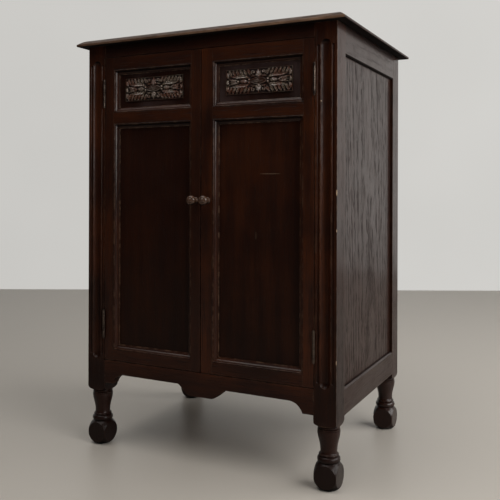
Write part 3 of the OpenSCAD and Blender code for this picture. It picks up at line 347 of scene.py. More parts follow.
# inside these, from the middle of the cabinet, the underside of the lid gets no painted shade
INNER_HALF_WIDTH, INNER_HALF_DEPTH = 318 * MM, 230 * MM

# the axis of the grain, the heart, glow and wear, and where given lean, wander and figure
OAK_BOARDS = {
    "front_left_post": Board("Z", (-0.90, -0.27), 1.0, 0.5, figure=0.2, polish=0.6, front=0.4),
    "front_right_post": Board("Z", (0.90, -0.10), 1.0, 0.8, figure=0.25, polish=0.85, front=0.25),
    "back_posts": Board("Z", (0.90, 0.40), 0.4, 0.5, figure=0.25),
    "front_top_rail": Board("X", (-1.60, -0.33), 0.22, 0.2, polish=0.75, corner_shade=UNDER_THE_LID),
    "apron": Board("X", (-0.60, -0.30), 1.0, 0.4, polish=0.3),
    "side_rails": Board("Y", (0.65, -0.84), 0.2, 0.3, figure=0.3, polish=0.93, corner_shade=UNDER_THE_LID),
    "left_side_panel": Board("Z", (-0.66, 0.02), 0.3, 0.2, 0.06, 0.8, 1.0),
    "right_side_panel": Board("Z", (0.64, 0.04), 0.3, 0.2, 0.06, 0.9, 1.0, polish=0.94),
    "back_rails": Board("X", (-1.40, 0.30), 0.2, 0.4),
    "back_panel": Board("Z", (0.08, 0.60), 0.2, 0.2, 0.05, 1.0, 0.8),
    "fascia_board": Board("X", (-1.30, -0.27), 0.3, 0.4),
    "horn_louvres": Board("X", (-1.00, -0.24), 0.5, 0.4, polish=0.35),
    "well_lining": Board("Y", (0.22, -1.30), 0.5, 0.4),
    "lid": Board("X", (-1.75, 0.06), 0.35, 0.95, 0.02, 0.5, 0.5, polish=0.5),
    "left_door_stiles": Board("Z", (-0.70, -0.32), 0.45, 0.2, polish=0.6),
    "right_door_stiles": Board("Z", (0.75, -0.30), 0.85, 0.2, polish=0.6),
    "left_door_rails": Board("X", (-1.20, -0.29), 0.5, 0.2, polish=0.5),
    "right_door_rails": Board("X", (-1.10, -0.31), 0.5, 0.2, polish=0.45),
    "left_lower_panel": Board("Z", (-0.80, -0.30), 0.26, 0.2, figure=0.2, polish=0.30),
    "right_lower_panel": Board("Z", (0.80, -0.31), 0.40, 0.2, figure=0.2, polish=0.18),
    "left_upper_panel": Board("Z", (-0.80, -0.31), 0.15, 0.3),
    "right_upper_panel": Board("Z", (0.80, -0.30), 0.15, 0.3),
    "left_knob": Board("Y", (-0.30, -0.62), 0.9, 0.8, pale=0.45, polish=1.8),
    "right_knob": Board("Y", (0.30, -0.60), 0.9, 0.8, pale=0.45, polish=1.8),
}
MOULDING_NODES = ("left_door_mouldings", "right_door_mouldings")

# chips and scratches on the wood: place, half lengths along X, Y and Z in metres, strength
MARKS = {
    "front_right_post": (((0.3250, -0.2395, 0.6248), (0.0016, 0.0016, 0.0060), 0.85),
                         ((0.3250, -0.2395, 0.5461), (0.0015, 0.0015, 0.0030), 0.85),
                         ((0.3250, -0.2395, 0.2729), (0.0015, 0.0015, 0.0050), 0.85),
                         ((0.2890, -0.2370, 0.8170), (0.0011, 0.0040, 0.0013), 0.8),
                         ((0.2990, -0.2370, 0.8170), (0.0010, 0.0040, 0.0011), 0.7)),
    "right_lower_panel": (((0.1655, -0.2265, 0.6655), (0.0240, 0.0020, 0.0009), 0.16),
                          ((0.1320, -0.2265, 0.5290), (0.0008, 0.0020, 0.0080), 0.10)),
    "left_door_mouldings": (((-0.1050, -0.2350, 0.2390), (0.0160, 0.0080, 0.0012), 0.6),),
}


def growth(finish, here, board, ring):
    """The figure of the wood, read along its grain: the open-pored early wood of each ring, the
    fine pores in it and the fibres. The rings lie about a heart beside the board."""
    u, v, along = finish.axes(here)
    slow = finish.noise(finish.stretched(here, (5, 5, 1.6)), 1.0, 2.0, 0.55)
    jagged = finish.noise(finish.stretched(here, (120, 120, 26)), 1.0, 3.0, 0.7)
    across = u - board.heart[0] + (slow - 0.5) * (0.05 * board.wander)
    into = v - board.heart[1] + along * board.lean
    rings = (across * across + into * into).root() + (slow - 0.5) * (0.03 * board.wander)
    phase = ((rings + (jagged - 0.5) * 0.0100) / ring).part()
    early = finish.rising(phase, 0.40, 0.80) * (1 - finish.rising(phase, 0.88, 1.0))
    dashes = finish.noise(finish.stretched(here, (260, 260, 24)), 1.0, 2.0)
    early = early * (0.15 + finish.rising(dashes, 0.38, 0.60) * 0.85)
    flecks = finish.noise(finish.stretched(here, (95, 95, 17)), 1.0, 3.0, 0.65)
    flecks = finish.rising(flecks, 0.53, 0.68)
    streak = finish.noise(finish.stretched(here, (900, 900, 36)), 1.0, 2.0, 0.6)
    pore = finish.rising(streak, 0.48, 0.62) * (early * 0.8 + 0.2)
    fibre = finish.noise(finish.stretched(here, (380, 380, 12)), 1.0, 3.0, 0.6)
    return early.most(flecks * 0.8), pore, fibre, slow


def chips(finish, marks):
    """1 inside the chips and scratches of a piece."""
    total = None
    ragged = finish.noise(finish.place(), 900.0, 2.0)
    for centre, half, strength in marks:
        near = finish.place(shift=tuple(-c / h for c, h in zip(centre, half)),
                            stretch=tuple(1 / h for h in half))
        away = finish.add("VectorMath", {"operation": "LENGTH"}, {0: near}, "Value")
        spot = (away + (ragged - 0.5) * 0.9).below(1.0) * strength
        total = spot if total is None else total.most(spot)
    return total


def oak(name, board, here=None, extra=None):
    """Dark stained and polished oak for one piece. Here gives other coordinates for its grain, and
    extra changes its colour and height and says where the polish is rubbed off."""
    look = bpy.context.scene.cabinet_oak
    finish = Finish(f"oak_{name}", Specular_IOR_Level=look.bare_shine, Coat_Roughness=0.15,
                    Coat_IOR=1.5)
    here = here(finish) if here else finish.place(turn=GRAIN_TURNS[board.grain])
    early, pore, fibre, slow = growth(finish, here, board, look.ring)
    own = finish.place()
    x, y, z = finish.axes(own)

    # the colour: stain, glow, pores, worn arrises, and painted shade in corners and on undersides
    cloudy = finish.noise(own, 7.0, 3.0, 0.6)
    patchy = finish.noise(own, 62.0, 3.0, 0.65)
    streaky = finish.noise(finish.stretched(here, (45, 45, 3)), 1.0, 3.0, 0.6)
    to_side = finish.looks(0, 0.90, 0.99)
    red = finish.rising(cloudy * 0.5 + slow * 0.3 + streaky * 0.35, 0.46, 0.78) * board.glow
    red = red * (1 - to_side * 0.85) * finish.rising(z, 0.10, 0.30)
    tone = finish.blend(red, look.stain, look.glow)
    if board.pale:
        tone = finish.blend(board.pale, tone, look.worn)
    tone = finish.shaded(tone, 0.62 + fibre * 0.50 + streaky * 0.26)
    tone = finish.blend(early * (0.65 * board.figure), tone, look.pores)
    tone = finish.blend(pore * (0.5 + 0.4 * board.figure), tone, look.pores)
    edge = finish.arrises(look.wear) * finish.rising(patchy, 0.44, 0.62)
    tone = finish.blend(edge * board.wear, tone, look.worn)
    # painted shade: the colour is darkened in inner corners, and on the rails where the lid's shadow
    # falls
    nook_shadow = finish.corners(*board.corner_shade)
    # painted shade: faces that look down, outside the inner box, are darkened as though in shadow
    beyond = (x.size() - INNER_HALF_WIDTH).most(y.size() - INNER_HALF_DEPTH)
    under = (1 - finish.looks(2, -0.75, -0.25)) * finish.rising(beyond, -4 * MM, 4 * MM)
    tone = finish.shaded(tone, (1 - nook_shadow * 0.75) * (1 - under * 0.85))
    height = fibre * 0.22 - pore - early * (0.9 * board.figure)

    # the polish: thin over open grain, in corners, underneath and low down
    handled = finish.rising(finish.noise(own, 16.0, 2.0), 0.35, 0.75)
    open_grain = pore * 0.45 + early * (0.75 * board.figure)
    rough = look.dullness + open_grain * 0.30 + handled * 0.08 - edge * 0.04 + under * 0.6
    upward = finish.rising(z, -0.02, 0.70).most(0.7 - finish.rising(z, 0.13, 0.15) * 0.7)
    upward = upward.most(finish.looks(2, 0.15, 0.55))
    coat = (1 - open_grain).most(0) * (0.82 + streaky * 0.36) * (look.polish * board.polish)
    coat = coat * upward * (1 - nook_shadow * 0.8) * (1 - under)
    coat = coat * (board.front + to_side * (1 - board.front))

    marks = MARKS.get(name)
    if marks:
        chip = chips(finish, marks)
        tone = finish.blend(chip, tone, look.chipped)
        height = height - chip * 1.6
        coat = coat * (1 - chip)
    if extra:
        tone, height, rubbed = extra(finish, tone, height)
        coat = coat * (1 - rubbed)
    waves = finish.noise(finish.stretched(here, (9, 9, 3)), 1.0, 1.0)
    normal = finish.relief(waves, 0.0022, finish.eased(0.0007))
    normal = finish.relief(height, 0.00026, normal)
    return finish.paint(Base_Color=tone, Roughness=rough, Coat_Weight=coat, Normal=normal)


def moulding_run(side):
    """Coordinates for a mitred moulding: the grain turns with each length of it."""
    def here(finish):
        x, y, z = finish.axes(finish.place())
        low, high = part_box(f"{'left' if side == LEFT else 'right'}_door_mouldings")
        middle, half = (low.x + high.x) / 2, (high.x - low.x) / 2
        from_side = half - (x - middle).size()
        upper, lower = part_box("left_upper_panel"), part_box("left_lower_panel")
        from_end = []
        for panel in (upper, lower):
            centre = (panel[0].z + panel[1].z) / 2
            reach = (panel[1].z - panel[0].z) / 2 - 6 * MM
            from_end.append((reach - (z - centre).size()).size())
        level = from_side.below(from_end[0].least(from_end[1]))
        upright = finish.add("CombineXYZ", {}, {"X": x, "Y": y, "Z": z})
        lying = finish.add("CombineXYZ", {}, {"X": z, "Y": y, "Z": x})
        return finish.add("Mix", {"data_type": "VECTOR"}, {0: level, 4: lying, 5: upright}, 1)
    return here


def punched_ground(finish, tone, height):
    """The small punch marks and the grey bloom on the ground of a carved panel."""
    look = bpy.context.scene.cabinet_carving
    own = finish.place()
    x, y = finish.axes(own)[:2]
    low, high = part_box("right_upper_panel")
    on_plaque = y.below(low.y + 0.5 * MM)
    on_front = y.below((low.y + high.y) / 2)
    dots = finish.rising(finish.cells(own, 520.0), 0.15, 0.55)
    bloom = finish.rising(finish.noise(own, 9.0, 3.0) + x * 0.5, 0.42, 0.72)
    tone = finish.blend(bloom * on_front * 0.8, tone, look.dust)
    tone = finish.blend(on_plaque * 0.75, tone, look.ground)
    return tone, height + dots * on_plaque * 1.2, on_plaque * 0.3


def thinner_below(finish, tone, height):
    """Thin polish low down on the front, and the colour darker there and on the feet."""
    z = finish.axes(finish.place())[2]
    low = (1 - finish.rising(z, 0.20, 0.75)) * finish.rising(z, 0.12, 0.16)
    foot = 1 - finish.rising(z, 0.060, 0.085)
    return finish.shaded(tone, 1 - (low + foot) * 0.42), height, low * 0.5


def handled_edge(finish, tone, height):
    """The sloping edge of the lid: polish rubbed off, and pale brown of handling on the slope and
    along the front's nosing, made paler towards the right as a painted highlight.
    """
    look = bpy.context.scene.cabinet_oak
    low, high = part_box("lid")
    own = finish.place()
    x, _, z = finish.axes(own)
    on_edge = z.below(high.z - 0.4 * MM)
    nosing = 1 - finish.rising(z, low.z + 5 * MM, low.z + 8 * MM)
    to_front = 1 - finish.looks(1, -0.60, -0.25)
    # painted highlight: the pale edge grows paler towards the right, where the light falls
    towards_the_light = finish.rising(x, low.x, high.x + 50 * MM)
    patches = finish.noise(finish.stretched(own, (22, 60, 60)), 1.0, 4.0, 0.65)
    patches = finish.rising(patches, 0.36, 0.62)
    paled = 0.06 + patches * (0.22 + towards_the_light * 0.22) + nosing * (0.12 + towards_the_light * 0.45)
    paled = paled * on_edge * to_front
    return finish.blend(paled, tone, look.handled), height, on_edge * 0.8


OAK_EXTRAS = {
    "left_upper_panel": punched_ground,
    "right_upper_panel": punched_ground,
    "left_lower_panel": thinner_below,
    "right_lower_panel": thinner_below,
    "front_left_post": thinner_below,
    "front_right_post": thinner_below,
    "lid": handled_edge,
}


# ---- other finishes ----

def plain_board(name, tone, grain, heart, gloss, varnish):
    """An unstained board, varnished or bare, with painted shade in its corners."""
    finish = Finish(name, Coat_Roughness=0.22)
    here = finish.place(turn=GRAIN_TURNS[grain])
    early, pore, fibre, slow = growth(finish, here, Board(grain, heart), 4.6 * MM)
    deep = tuple(c * 0.42 for c in tone)
    shade = finish.blend(early * 0.45 + pore * 0.35, tone, deep)
    shade = finish.shaded(shade, 0.78 + slow * 0.25 + fibre * 0.22)
    # painted shade in the corners of the board
    shade = finish.shaded(shade, 1 - finish.corners(20 * MM) * 0.5)
    normal = finish.relief(fibre * 0.3 - pore, 0.00018, finish.eased(0.0006))
    return finish.paint(Base_Color=shade, Roughness=gloss + pore * 0.12 + (slow - 0.5) * 0.15,
                        Coat_Weight=varnish * (1 - pore * 0.6), Normal=normal)


def cast_or_plated(name, tone, skin, clean, gloss, ripple, extra=None):
    """A metal with a skin of tarnish or dust that is rubbed off its edges. The ripple is in
    millimetres."""
    finish = Finish(name, Metallic=1.0)
    own = finish.place()
    cloud = finish.noise(own, 60.0, 4.0, 0.65)
    fine = finish.noise(own, 900.0, 2.0)
    dull = finish.rising(cloud, clean - 0.12, clean + 0.20)
    rubbed = finish.arrises(0.0012)
    dull = dull * (1 - rubbed * 0.8)
    shade = finish.blend(dull, tone, skin)
    height = cloud * 0.6 + fine * 0.4
    if extra:
        height = extra(finish, height)
    normal = finish.relief(height, ripple * MM, finish.eased(0.0003))
    return finish.paint(Base_Color=shade, Roughness=gloss + dull * 0.28 + (fine - 0.5) * 0.08,
                        Normal=normal)


def japanned(name, tone):
    """Black enamel on iron, worn bright at the edges."""
    finish = Finish(name, Coat_Roughness=0.12)
    own = finish.place()
    cloud = finish.noise(own, 45.0, 3.0)
    rubbed = finish.arrises(0.0011) * finish.rising(cloud, 0.40, 0.62)
    shade = finish.shaded(finish.blend(rubbed * 0.8, tone, (0.22, 0.21, 0.20)), 0.8 + cloud * 0.4)
    skin = finish.noise(own, 420.0, 3.0)
    normal = finish.relief(skin, 0.00010, finish.eased(0.0008))
    return finish.paint(Base_Color=shade, Metallic=rubbed, Roughness=0.30 + cloud * 0.22,
                        Coat_Weight=0.4 * (1 - rubbed), Normal=normal)


def felt_finish(name, tone):
    """Felt with its tufts, worn pale where the edge of a record lies."""
    finish = Finish(name, Sheen_Weight=0.35, Sheen_Roughness=0.6)
    own = finish.place()
    tufts = finish.noise(own, 1400.0, 4.0, 0.7)
    patch = finish.noise(own, 22.0, 3.0)
    x, y = finish.axes(own)[:2]
    low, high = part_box("spindle")
    x, y = x - (low.x + high.x) / 2, y - (low.y + high.y) / 2
    far = (x * x + y * y).root()
    rubbed = finish.rising(far, 0.118, 0.130) * (1 - finish.rising(far, 0.134, 0.146))
    shade = finish.shaded(tone, 0.55 + tufts * 0.6 + patch * 0.25)
    shade = finish.blend(rubbed * 0.3, shade, (0.10, 0.13, 0.08))
    return finish.paint(Base_Color=shade, Roughness=0.9 + (tufts - 0.5) * 0.1,
                        Normal=finish.relief(tufts, 0.0003))


def worm_thread(finish, height):
    """The thread on the governor's worm."""
    low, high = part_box("governor")
    x, y, z = finish.axes(finish.place())
    middle = (low + high) / 2
    angle = finish.round_angle(y - middle.y, z - middle.z)
    start, end, pitch = low.x + 16 * MM, low.x + 46 * MM, 3.2 * MM
    on_worm = finish.rising(x, start, start + MM) * (1 - finish.rising(x, end - MM, end))
    thread = (x * (2 * math.pi / pitch) + angle).sine()
    return height + thread * on_worm * 3.0


def bevel_teeth(finish, height):
    """Teeth on the cone face of the arbor's bevel wheel."""
    low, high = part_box("winding_arbor")
    x, y, z = finish.axes(finish.place())
    middle, teeth = (low + high) / 2, 28.0
    angle = finish.round_angle(x - middle.x, y - middle.y)
    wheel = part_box("winding_shaft")[0].z - 9 * MM
    on_wheel = finish.rising(z, wheel, wheel + MM)
    return height + (angle * teeth).sine() * on_wheel * 4.0


def carved(name):
    """Carved oak: dark in its ground, olive-gold on its flanks, rubbed and given a painted highlight
    on its crests, with painted shade in its tight corners.
    """
    sizes = bpy.context.scene.cabinet_carving
    look = bpy.context.scene.cabinet_oak
    finish = Finish(name, Coat_Roughness=0.14, Coat_IOR=1.6, Specular_IOR_Level=0.3)
    own = finish.place()
    lift = (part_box("right_upper_panel")[0].y - finish.axes(own)[1]) / sizes.rise
    patch = finish.noise(own, 55.0, 3.0, 0.6)
    tooled = finish.noise(own, 900.0, 2.0)
    spotty = finish.noise(own, 290.0, 2.0)
    flank = finish.rising(lift + (patch - 0.5) * 0.4, 0.05, 0.40)
    # painted highlight: the crests are paled both by rubbing and by painted glints in bright specks
    rubbed_lit_crest = finish.rising(lift + (spotty - 0.5) * 1.7, 0.50, 0.95)
    rubbed_lit_crest = rubbed_lit_crest * finish.rising(patch, 0.25, 0.60)
    old_polish = finish.blend(finish.rising(patch, 0.42, 0.62), look.glow, sizes.patina)
    shade = finish.blend(flank, sizes.ground, old_polish)
    shade = finish.blend(rubbed_lit_crest * 0.85, shade, sizes.rubbed_lit_crest)
    veins = finish.noise(own, 420.0, 2.0)
    shade = finish.shaded(shade, 0.30 + tooled * 0.6 + veins * 0.8)
    # painted shade in the tight corners of the carving
    shade = finish.shaded(shade, 1 - finish.corners(0.003) * 0.55)
    return finish.paint(Base_Color=shade, Roughness=0.42 - rubbed_lit_crest * 0.12 + (tooled - 0.5) * 0.1,
                        Coat_Weight=0.3 + rubbed_lit_crest * 0.5,
                        Normal=finish.relief(veins, 0.0006, finish.relief(tooled, 0.00012)))


def set_finish(piece, material):
    """Gives a piece or a CAD node its finish."""
    piece.data.materials.clear()
    piece.data.materials.append(material)


# ---- making pieces ----

def finished(mesh, name, body, material, sharp=40):
    """Turns a bmesh into a piece that rides on a body."""
    bmesh.ops.remove_doubles(mesh, verts=mesh.verts, dist=1e-6)
    bmesh.ops.recalc_face_normals(mesh, faces=mesh.faces)
    data = bpy.data.meshes.new(name)
    mesh.to_mesh(data)
    mesh.free()
    data.shade_smooth()
    data.set_sharp_from_angle(angle=math.radians(sharp))
    piece = bpy.data.objects.new(name, data)
    bpy.context.scene.collection.objects.link(piece)
    set_finish(piece, material)
    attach(piece, body)
    return piece


def curve_point(points, share):
    """A point on the smooth curve that starts at the first point, ends at the last and leans
    towards those between."""
    points = [Vector(p) for p in points]
    while len(points) > 1:
        points = [a.lerp(b, share) for a, b in zip(points, points[1:])]
    return points[0]


def scroll(centre, start, end, radius, final_radius):
    """A curling path: angles in degrees, radii in millimetres."""
    def at(share):
        angle = math.radians(start + (end - start) * share)
        r = radius + (final_radius - radius) * share
        return Vector((centre[0] + r * math.cos(angle), centre[1] + r * math.sin(angle)))
    return at


def path(*points):
    """The smooth curve of these points."""
    return lambda share: curve_point(points, share)


def petal(share):
    """Half width of a pointed leaf along its length."""
    return math.sin(math.pi * share ** 0.8) ** 0.8


def cord_like(share):
    """Half width of an even band with rounded ends."""
    return min(1.0, 6 * share, 6 * (1 - share)) ** 0.5


def wave(turns):
    """1 at whole turns, 0 half way between them."""
    return 0.5 + 0.5 * math.cos(2 * math.pi * turns)


def corners_of(result):
    """The vertices that an extrusion has made."""
    return [v for v in result["geom"] if isinstance(v, bmesh.types.BMVert)]


ROOT = 0.3      # how deep the carving is rooted in its panel, in millimetres


class Relief:
    """Carving on one plaque. Lengths are in millimetres from the middle of the field, and heights
    stand on its ground."""

    def __init__(self, middle, rise):
        self.mesh = bmesh.new()
        self.middle = middle
        self.rise = rise / MM

    def at(self, flat, height):
        """The place of a point of the carving in metres."""
        return Vector((self.middle.x + flat[0] * MM, self.middle.y - height * MM,
                       self.middle.z + flat[1] * MM))

    def leaf(self, along, width, height, outline=petal, lobes=0, gouge=0.0, ribs=0, steps=12,
             rows=6, hatch=0.0):
        """A leaf, scroll or band: a strip of carving that follows a path and is domed or gouged."""
        base = bmesh.ops.create_grid(self.mesh, x_segments=steps, y_segments=rows, size=1)["verts"]
        faces = list({f for v in base for f in v.link_faces})
        lifted = bmesh.ops.extrude_face_region(self.mesh, geom=faces, use_keep_orig=True)
        top = corners_of(lifted)
        for group, is_top in ((base, False), (top, True)):
            for v in group:
                share, side = (v.co.x + 1) / 2, v.co.y
                flat, across = self.across(along, share)
                half = max(0.05, outline(share)) * width / 2
                lift = self.dome(share, side, height, outline, gouge, ribs)
                if lobes:
                    scallop = wave(lobes * share - 0.5 * abs(side)) * abs(side)
                    half *= 1 - 0.34 * scallop
                    lift -= 0.16 * scallop
                flat = flat + across * (half * side)
                if hatch:
                    lift += hatch * self.hatching(flat) * (1 - side ** 4)
                v.co = self.at(flat, max(0.0, lift) * self.rise if is_top else -ROOT)

    @staticmethod
    def across(along, share, step=0.01):
        """The point of a path, and the direction across it."""
        ahead = along(min(1.0, share + step)) - along(max(0.0, share - step))
        return along(share), Vector((-ahead.y, ahead.x)).normalized()

    @staticmethod
    def dome(share, side, height, outline, gouge, ribs):
        """Height of a leaf, as a share of the full rise: domed, gouged along its middle, ribbed."""
        dome = 1 - side ** 4
        lift = height * dome * max(0.35, outline(share)) ** 0.5
        lift -= gouge * math.exp(-(side / 0.32) ** 2) * outline(share)
        return lift - (0.30 * wave(ribs * share) * dome if ribs else 0)

    @staticmethod
    def hatching(flat):
        """Crossed lines that leave small diamonds."""
        return math.cos(flat.x * 2.1 + flat.y * 2.6) * math.cos(flat.x * 2.1 - flat.y * 2.6)

    def boss(self, centre, radius, height):
        """A round bead."""
        ball = bmesh.ops.create_icosphere(self.mesh, subdivisions=2, radius=1)
        for v in ball["verts"]:
            v.co = self.at((centre[0] + v.co.x * radius, centre[1] + v.co.z * radius),
                           max(-ROOT, -v.co.y * self.rise * height))

    def quarter(self, east, north):
        """The leaves and scrolls between the middle of the field and one of its corners."""
        def spot(x, y):
            return (x * east, y * north)

        def swing(angle):
            angle *= north
            return angle if east > 0 else 180 - angle

        self.leaf(path(spot(23, 5.5), spot(37, 16), spot(53, 4.5), spot(73, 15)), 10.5, 0.95,
                  lobes=6, gouge=0.42, steps=36, rows=8)
        self.leaf(path(spot(49, 3.6), spot(58, 1.8), spot(66, 4.0), spot(74, 6.5)), 6.2, 1.0,
                  lobes=3, gouge=0.3, steps=20)
        for k in range(6):
            start = spot(20 + 9.2 * k, 12.6 - 0.5 * k)
            bend = spot(22 + 9.6 * k, 20.0)
            end = spot(28.5 + 9.2 * k, 25.6)
            self.leaf(path(start, bend, end), 7.0, 0.95, gouge=0.5)
            self.boss(spot(25.5 + 9.2 * k, 25.0), 1.3, 0.8)
        eye = spot(12.6, 18.4)
        self.leaf(scroll(eye, swing(-70), swing(255), 4.9, 1.6), 2.3, 1.0, cord_like,
                  steps=24, rows=4)
        self.boss(eye, 1.8, 1.0)
        self.leaf(path(spot(7.5, 9.5), spot(13.5, 13.5), spot(19.0, 8.5)), 4.6, 0.9, gouge=0.4)
        self.leaf(path(spot(74.0, 8.5), spot(80.5, 15.5), spot(74.0, 22.5)), 7.6, 1.0, gouge=0.3)

    def end_ornament(self, east):
        """The ribbed husk, the double beads and the lobe at one end of the middle line."""
        for north in (-3.1, 3.1):
            self.boss((east * 22.8, north), 2.7, 1.15)
        self.leaf(path((east * 27, 0), (east * 48, 0)), 10.5, 0.85, ribs=7, steps=42, rows=8)
        self.boss((east * 50.5, 0), 2.4, 1.1)
        self.leaf(path((east * 55, 0), (east * 73, 0)), 5.2, 0.8, ribs=4, steps=24)
        self.leaf(path((east * 74.5, -6), (east * 80.5, 0), (east * 74.5, 6)), 6.4, 1.0, gouge=0.3)

    def palmette(self, north):
        """The fan at the middle of the upper or lower edge."""
        root = Vector((0, 9.6 * north))
        for k in range(-2, 3):
            angle = math.radians(90 - k * 32)
            reach = 16.6 - 2.2 * abs(k)
            tip = root + Vector((math.cos(angle) * reach * 0.62, north * math.sin(angle) * reach))
            bend = root.lerp(tip, 0.5) + Vector((0.9 * k, 0))
            self.leaf(path(root, bend, tip), 5.4, 1.05, gouge=0.32)
        self.boss((0, 10.2 * north), 2.4, 1.15)

    def field(self, width, height):
        """The low band round the field, the lens in the middle, and all that springs from it."""
        w, h = width / MM / 2 - 0.9, height / MM / 2 - 0.9
        band = ((-w, -h), (w, -h), (w, h), (-w, h))
        for a, b in zip(band, band[1:] + band[:1]):
            self.leaf(path(a, b), 1.2, 0.4, lambda share: 1.0, steps=2, rows=4)
        self.leaf(path((-19, 0), (19, 0)), 12.5, 0.85, hatch=0.45, steps=64, rows=18)
        for north in (-1, 1):
            bow = path((-20.5, 0), (-10, 9.2 * north), (10, 9.2 * north), (20.5, 0))
            self.leaf(bow, 1.6, 1.05, cord_like, steps=26, rows=4)
            self.palmette(north)
            for east in (-1, 1):
                self.quarter(east, north)
        for east in (-1, 1):
            self.end_ornament(east)


def slotted_head(radius, slot, sides, lift):
    """A screw head that stands on the ground plane, with its slot along Y."""
    head = bmesh.new()
    bmesh.ops.create_cone(head, cap_ends=True, segments=sides, radius1=radius,
                          radius2=radius * 0.86, depth=lift,
                          matrix=Matrix.Translation((0, 0, lift / 2)))
    for x in (-slot / 2, slot / 2):
        everything = head.verts[:] + head.edges[:] + head.faces[:]
        bmesh.ops.bisect_plane(head, geom=everything, dist=1e-7, plane_co=(x, 0, 0),
                               plane_no=(1, 0, 0))
    groove = [f for f in head.faces if f.calc_center_median().z > lift * 0.9
              and abs(f.calc_center_median().x) < slot / 2]
    sunk = bmesh.ops.extrude_face_region(head, geom=groove)
    bmesh.ops.delete(head, geom=groove, context="FACES_ONLY")
    bmesh.ops.translate(head, verts=corners_of(sunk), vec=(0, 0, -lift * 0.7))
    return head


def along_leaves(low, high):
    """Where the screws sit in a pair of hinges that reaches from low to high: three a leaf."""
    half_leaf, pitch = 32.5 * MM, 24 * MM
    return [middle + k * pitch for middle in (low + half_leaf, high - half_leaf)
            for k in (-1, 0, 1)]


def three_round(first):
    """Cosines and sines of three equal steps round a circle."""
    angles = [first + k * 2 * math.pi / 3 for k in range(3)]
    return [(math.cos(a), math.sin(a)) for a in angles]


def screws(name, body, material, places, radius, lift=0.4 * MM):
    """One piece holding the screws of a body: places are (spot, outward direction)."""
    sizes = bpy.context.scene.cabinet_fittings
    mesh = bmesh.new()
    for k, (spot, outward) in enumerate(places):
        one = slotted_head(radius, sizes.slot * radius / sizes.screw, sizes.sides, lift)
        facing = Vector(outward).to_track_quat("Z", "Y").to_matrix().to_4x4()
        turn = Matrix.Rotation(0.9 + 1.7 * k, 4, "Z")
        bmesh.ops.transform(one, verts=one.verts, matrix=Matrix.Translation(spot) @ facing @ turn)
        data = bpy.data.meshes.new("one_screw")
        one.to_mesh(data)
        one.free()
        mesh.from_mesh(data)
        bpy.data.meshes.remove(data)
    return finished(mesh, name, body, material, 30)


# ---- operators ----

class CABINET_OT_oak(bpy.types.Operator):
    """Stain, wear and polish every oak board of the cabinet"""
    bl_idname = "cabinet.oak"
    bl_label = "Polish the oak"

    def execute(self, context):
        for name, board in OAK_BOARDS.items():
            set_finish(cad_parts[name], oak(name, board, extra=OAK_EXTRAS.get(name)))
        for side, name in zip((LEFT, RIGHT), MOULDING_NODES):
            board = Board("Z", (side * 0.80, -0.29), 0.6, 0.7, polish=0.8)
            set_finish(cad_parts[name], oak(name, board, moulding_run(side)))
        return {"FINISHED"}


class CABINET_OT_inner_boards(bpy.types.Operator):
    """Finish the plain boards, the horn and the motor board"""
    bl_idname = "cabinet.inner_boards"
    bl_label = "Finish the inner boards"

    def execute(self, context):
        look = context.scene.cabinet_inner
        for name, tone, grain, heart, gloss, varnish in (
                ("bottom_board", look.board, "X", (-0.26, 0.1), 0.55, 0.0),
                ("record_shelf", look.board, "X", (-0.6, -0.06), 0.55, 0.0),
                ("cleats", look.board, "Y", (0.2, -0.5), 0.55, 0.0),
                ("record_dividers", look.board, "Y", (0.1, -0.6), 0.55, 0.0),
                ("crank_clips", look.board, "X", (-0.9, 0.1), 0.55, 0.0),
                ("horn", look.horn, "Y", (0.05, -0.7), 0.40, 0.5),
                ("motor_board", look.deck, "X", (-0.93, 0.03), 0.32, 0.7),
                ("crank_grip", look.grip, "X", (-0.9, 0.25), 0.28, 0.8)):
            set_finish(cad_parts[name],
                       plain_board(f"board_{name}", tone, grain, heart, gloss, varnish))
        return {"FINISHED"}


class CABINET_OT_metal_and_felt(bpy.types.Operator):
    """Finish the hinges, the motor, the tone arm and the turntable"""
    bl_idname = "cabinet.metal_and_felt"
    bl_label = "Finish metal and felt"

    def execute(self, context):
        look = context.scene.cabinet_metal
        brass, brown, steel = look.brass, look.tarnish, look.steel
        finishes = {
            cast_or_plated("aged_brass", brown, look.grime, 0.47, 0.34, 0.08): (
                "carcass_hinge_leaves", "hinge_pins", "lid_hinge_leaves", "left_hinge_leaves",
                "right_hinge_leaves", "stay_guide", "lid_stay"),
            cast_or_plated("wheel_brass", brass, brown, 0.58, 0.26, 0.04): (
                "intermediate_gear", "spring_barrel"),
            cast_or_plated("nickel_plate", look.nickel, look.dulled, 0.62, 0.16, 0.03): (
                "arm_base", "needle_cups", "crank_escutcheon", "crank_arm", "tone_arm",
                "gooseneck", "sound_box", "brake_lever", "speed_lever"),
            cast_or_plated("bright_steel", steel, look.oily, 0.60, 0.26, 0.03): (
                "spindle", "winding_shaft"),
            cast_or_plated("toothed_steel", steel, look.oily, 0.60, 0.26, 0.12, bevel_teeth): (
                "winding_arbor",),
            cast_or_plated("governor_brass", brass, brown, 0.56, 0.25, 0.12, worm_thread): (
                "governor",),
            japanned("japanned_iron", look.iron): ("platter", "motor_frame", "horn_throat"),
            felt_finish("green_felt", context.scene.cabinet_inner.felt): ("platter_felt",),
        }
        for material, names in finishes.items():
            for name in names:
                set_finish(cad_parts[name], material)
        return {"FINISHED"}


class CABINET_OT_carvings(bpy.types.Operator):
    """Carve the upper panel of each door"""
    bl_idname = "cabinet.carvings"
    bl_label = "Carve the upper panels"

    def execute(self, context):
        sizes = context.scene.cabinet_carving
        material = carved("carved_oak")
        for word in ("left", "right"):
            low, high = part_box(f"{word}_upper_panel")
            middle = Vector(((low.x + high.x) / 2, low.y, (low.z + high.z) / 2 + 2 * MM))
            relief = Relief(middle, sizes.rise)
            relief.field(sizes.width, sizes.height)
            finished(relief.mesh, f"{word}_carving", f"{word}_door",
                     material, 55)
        return {"FINISHED"}


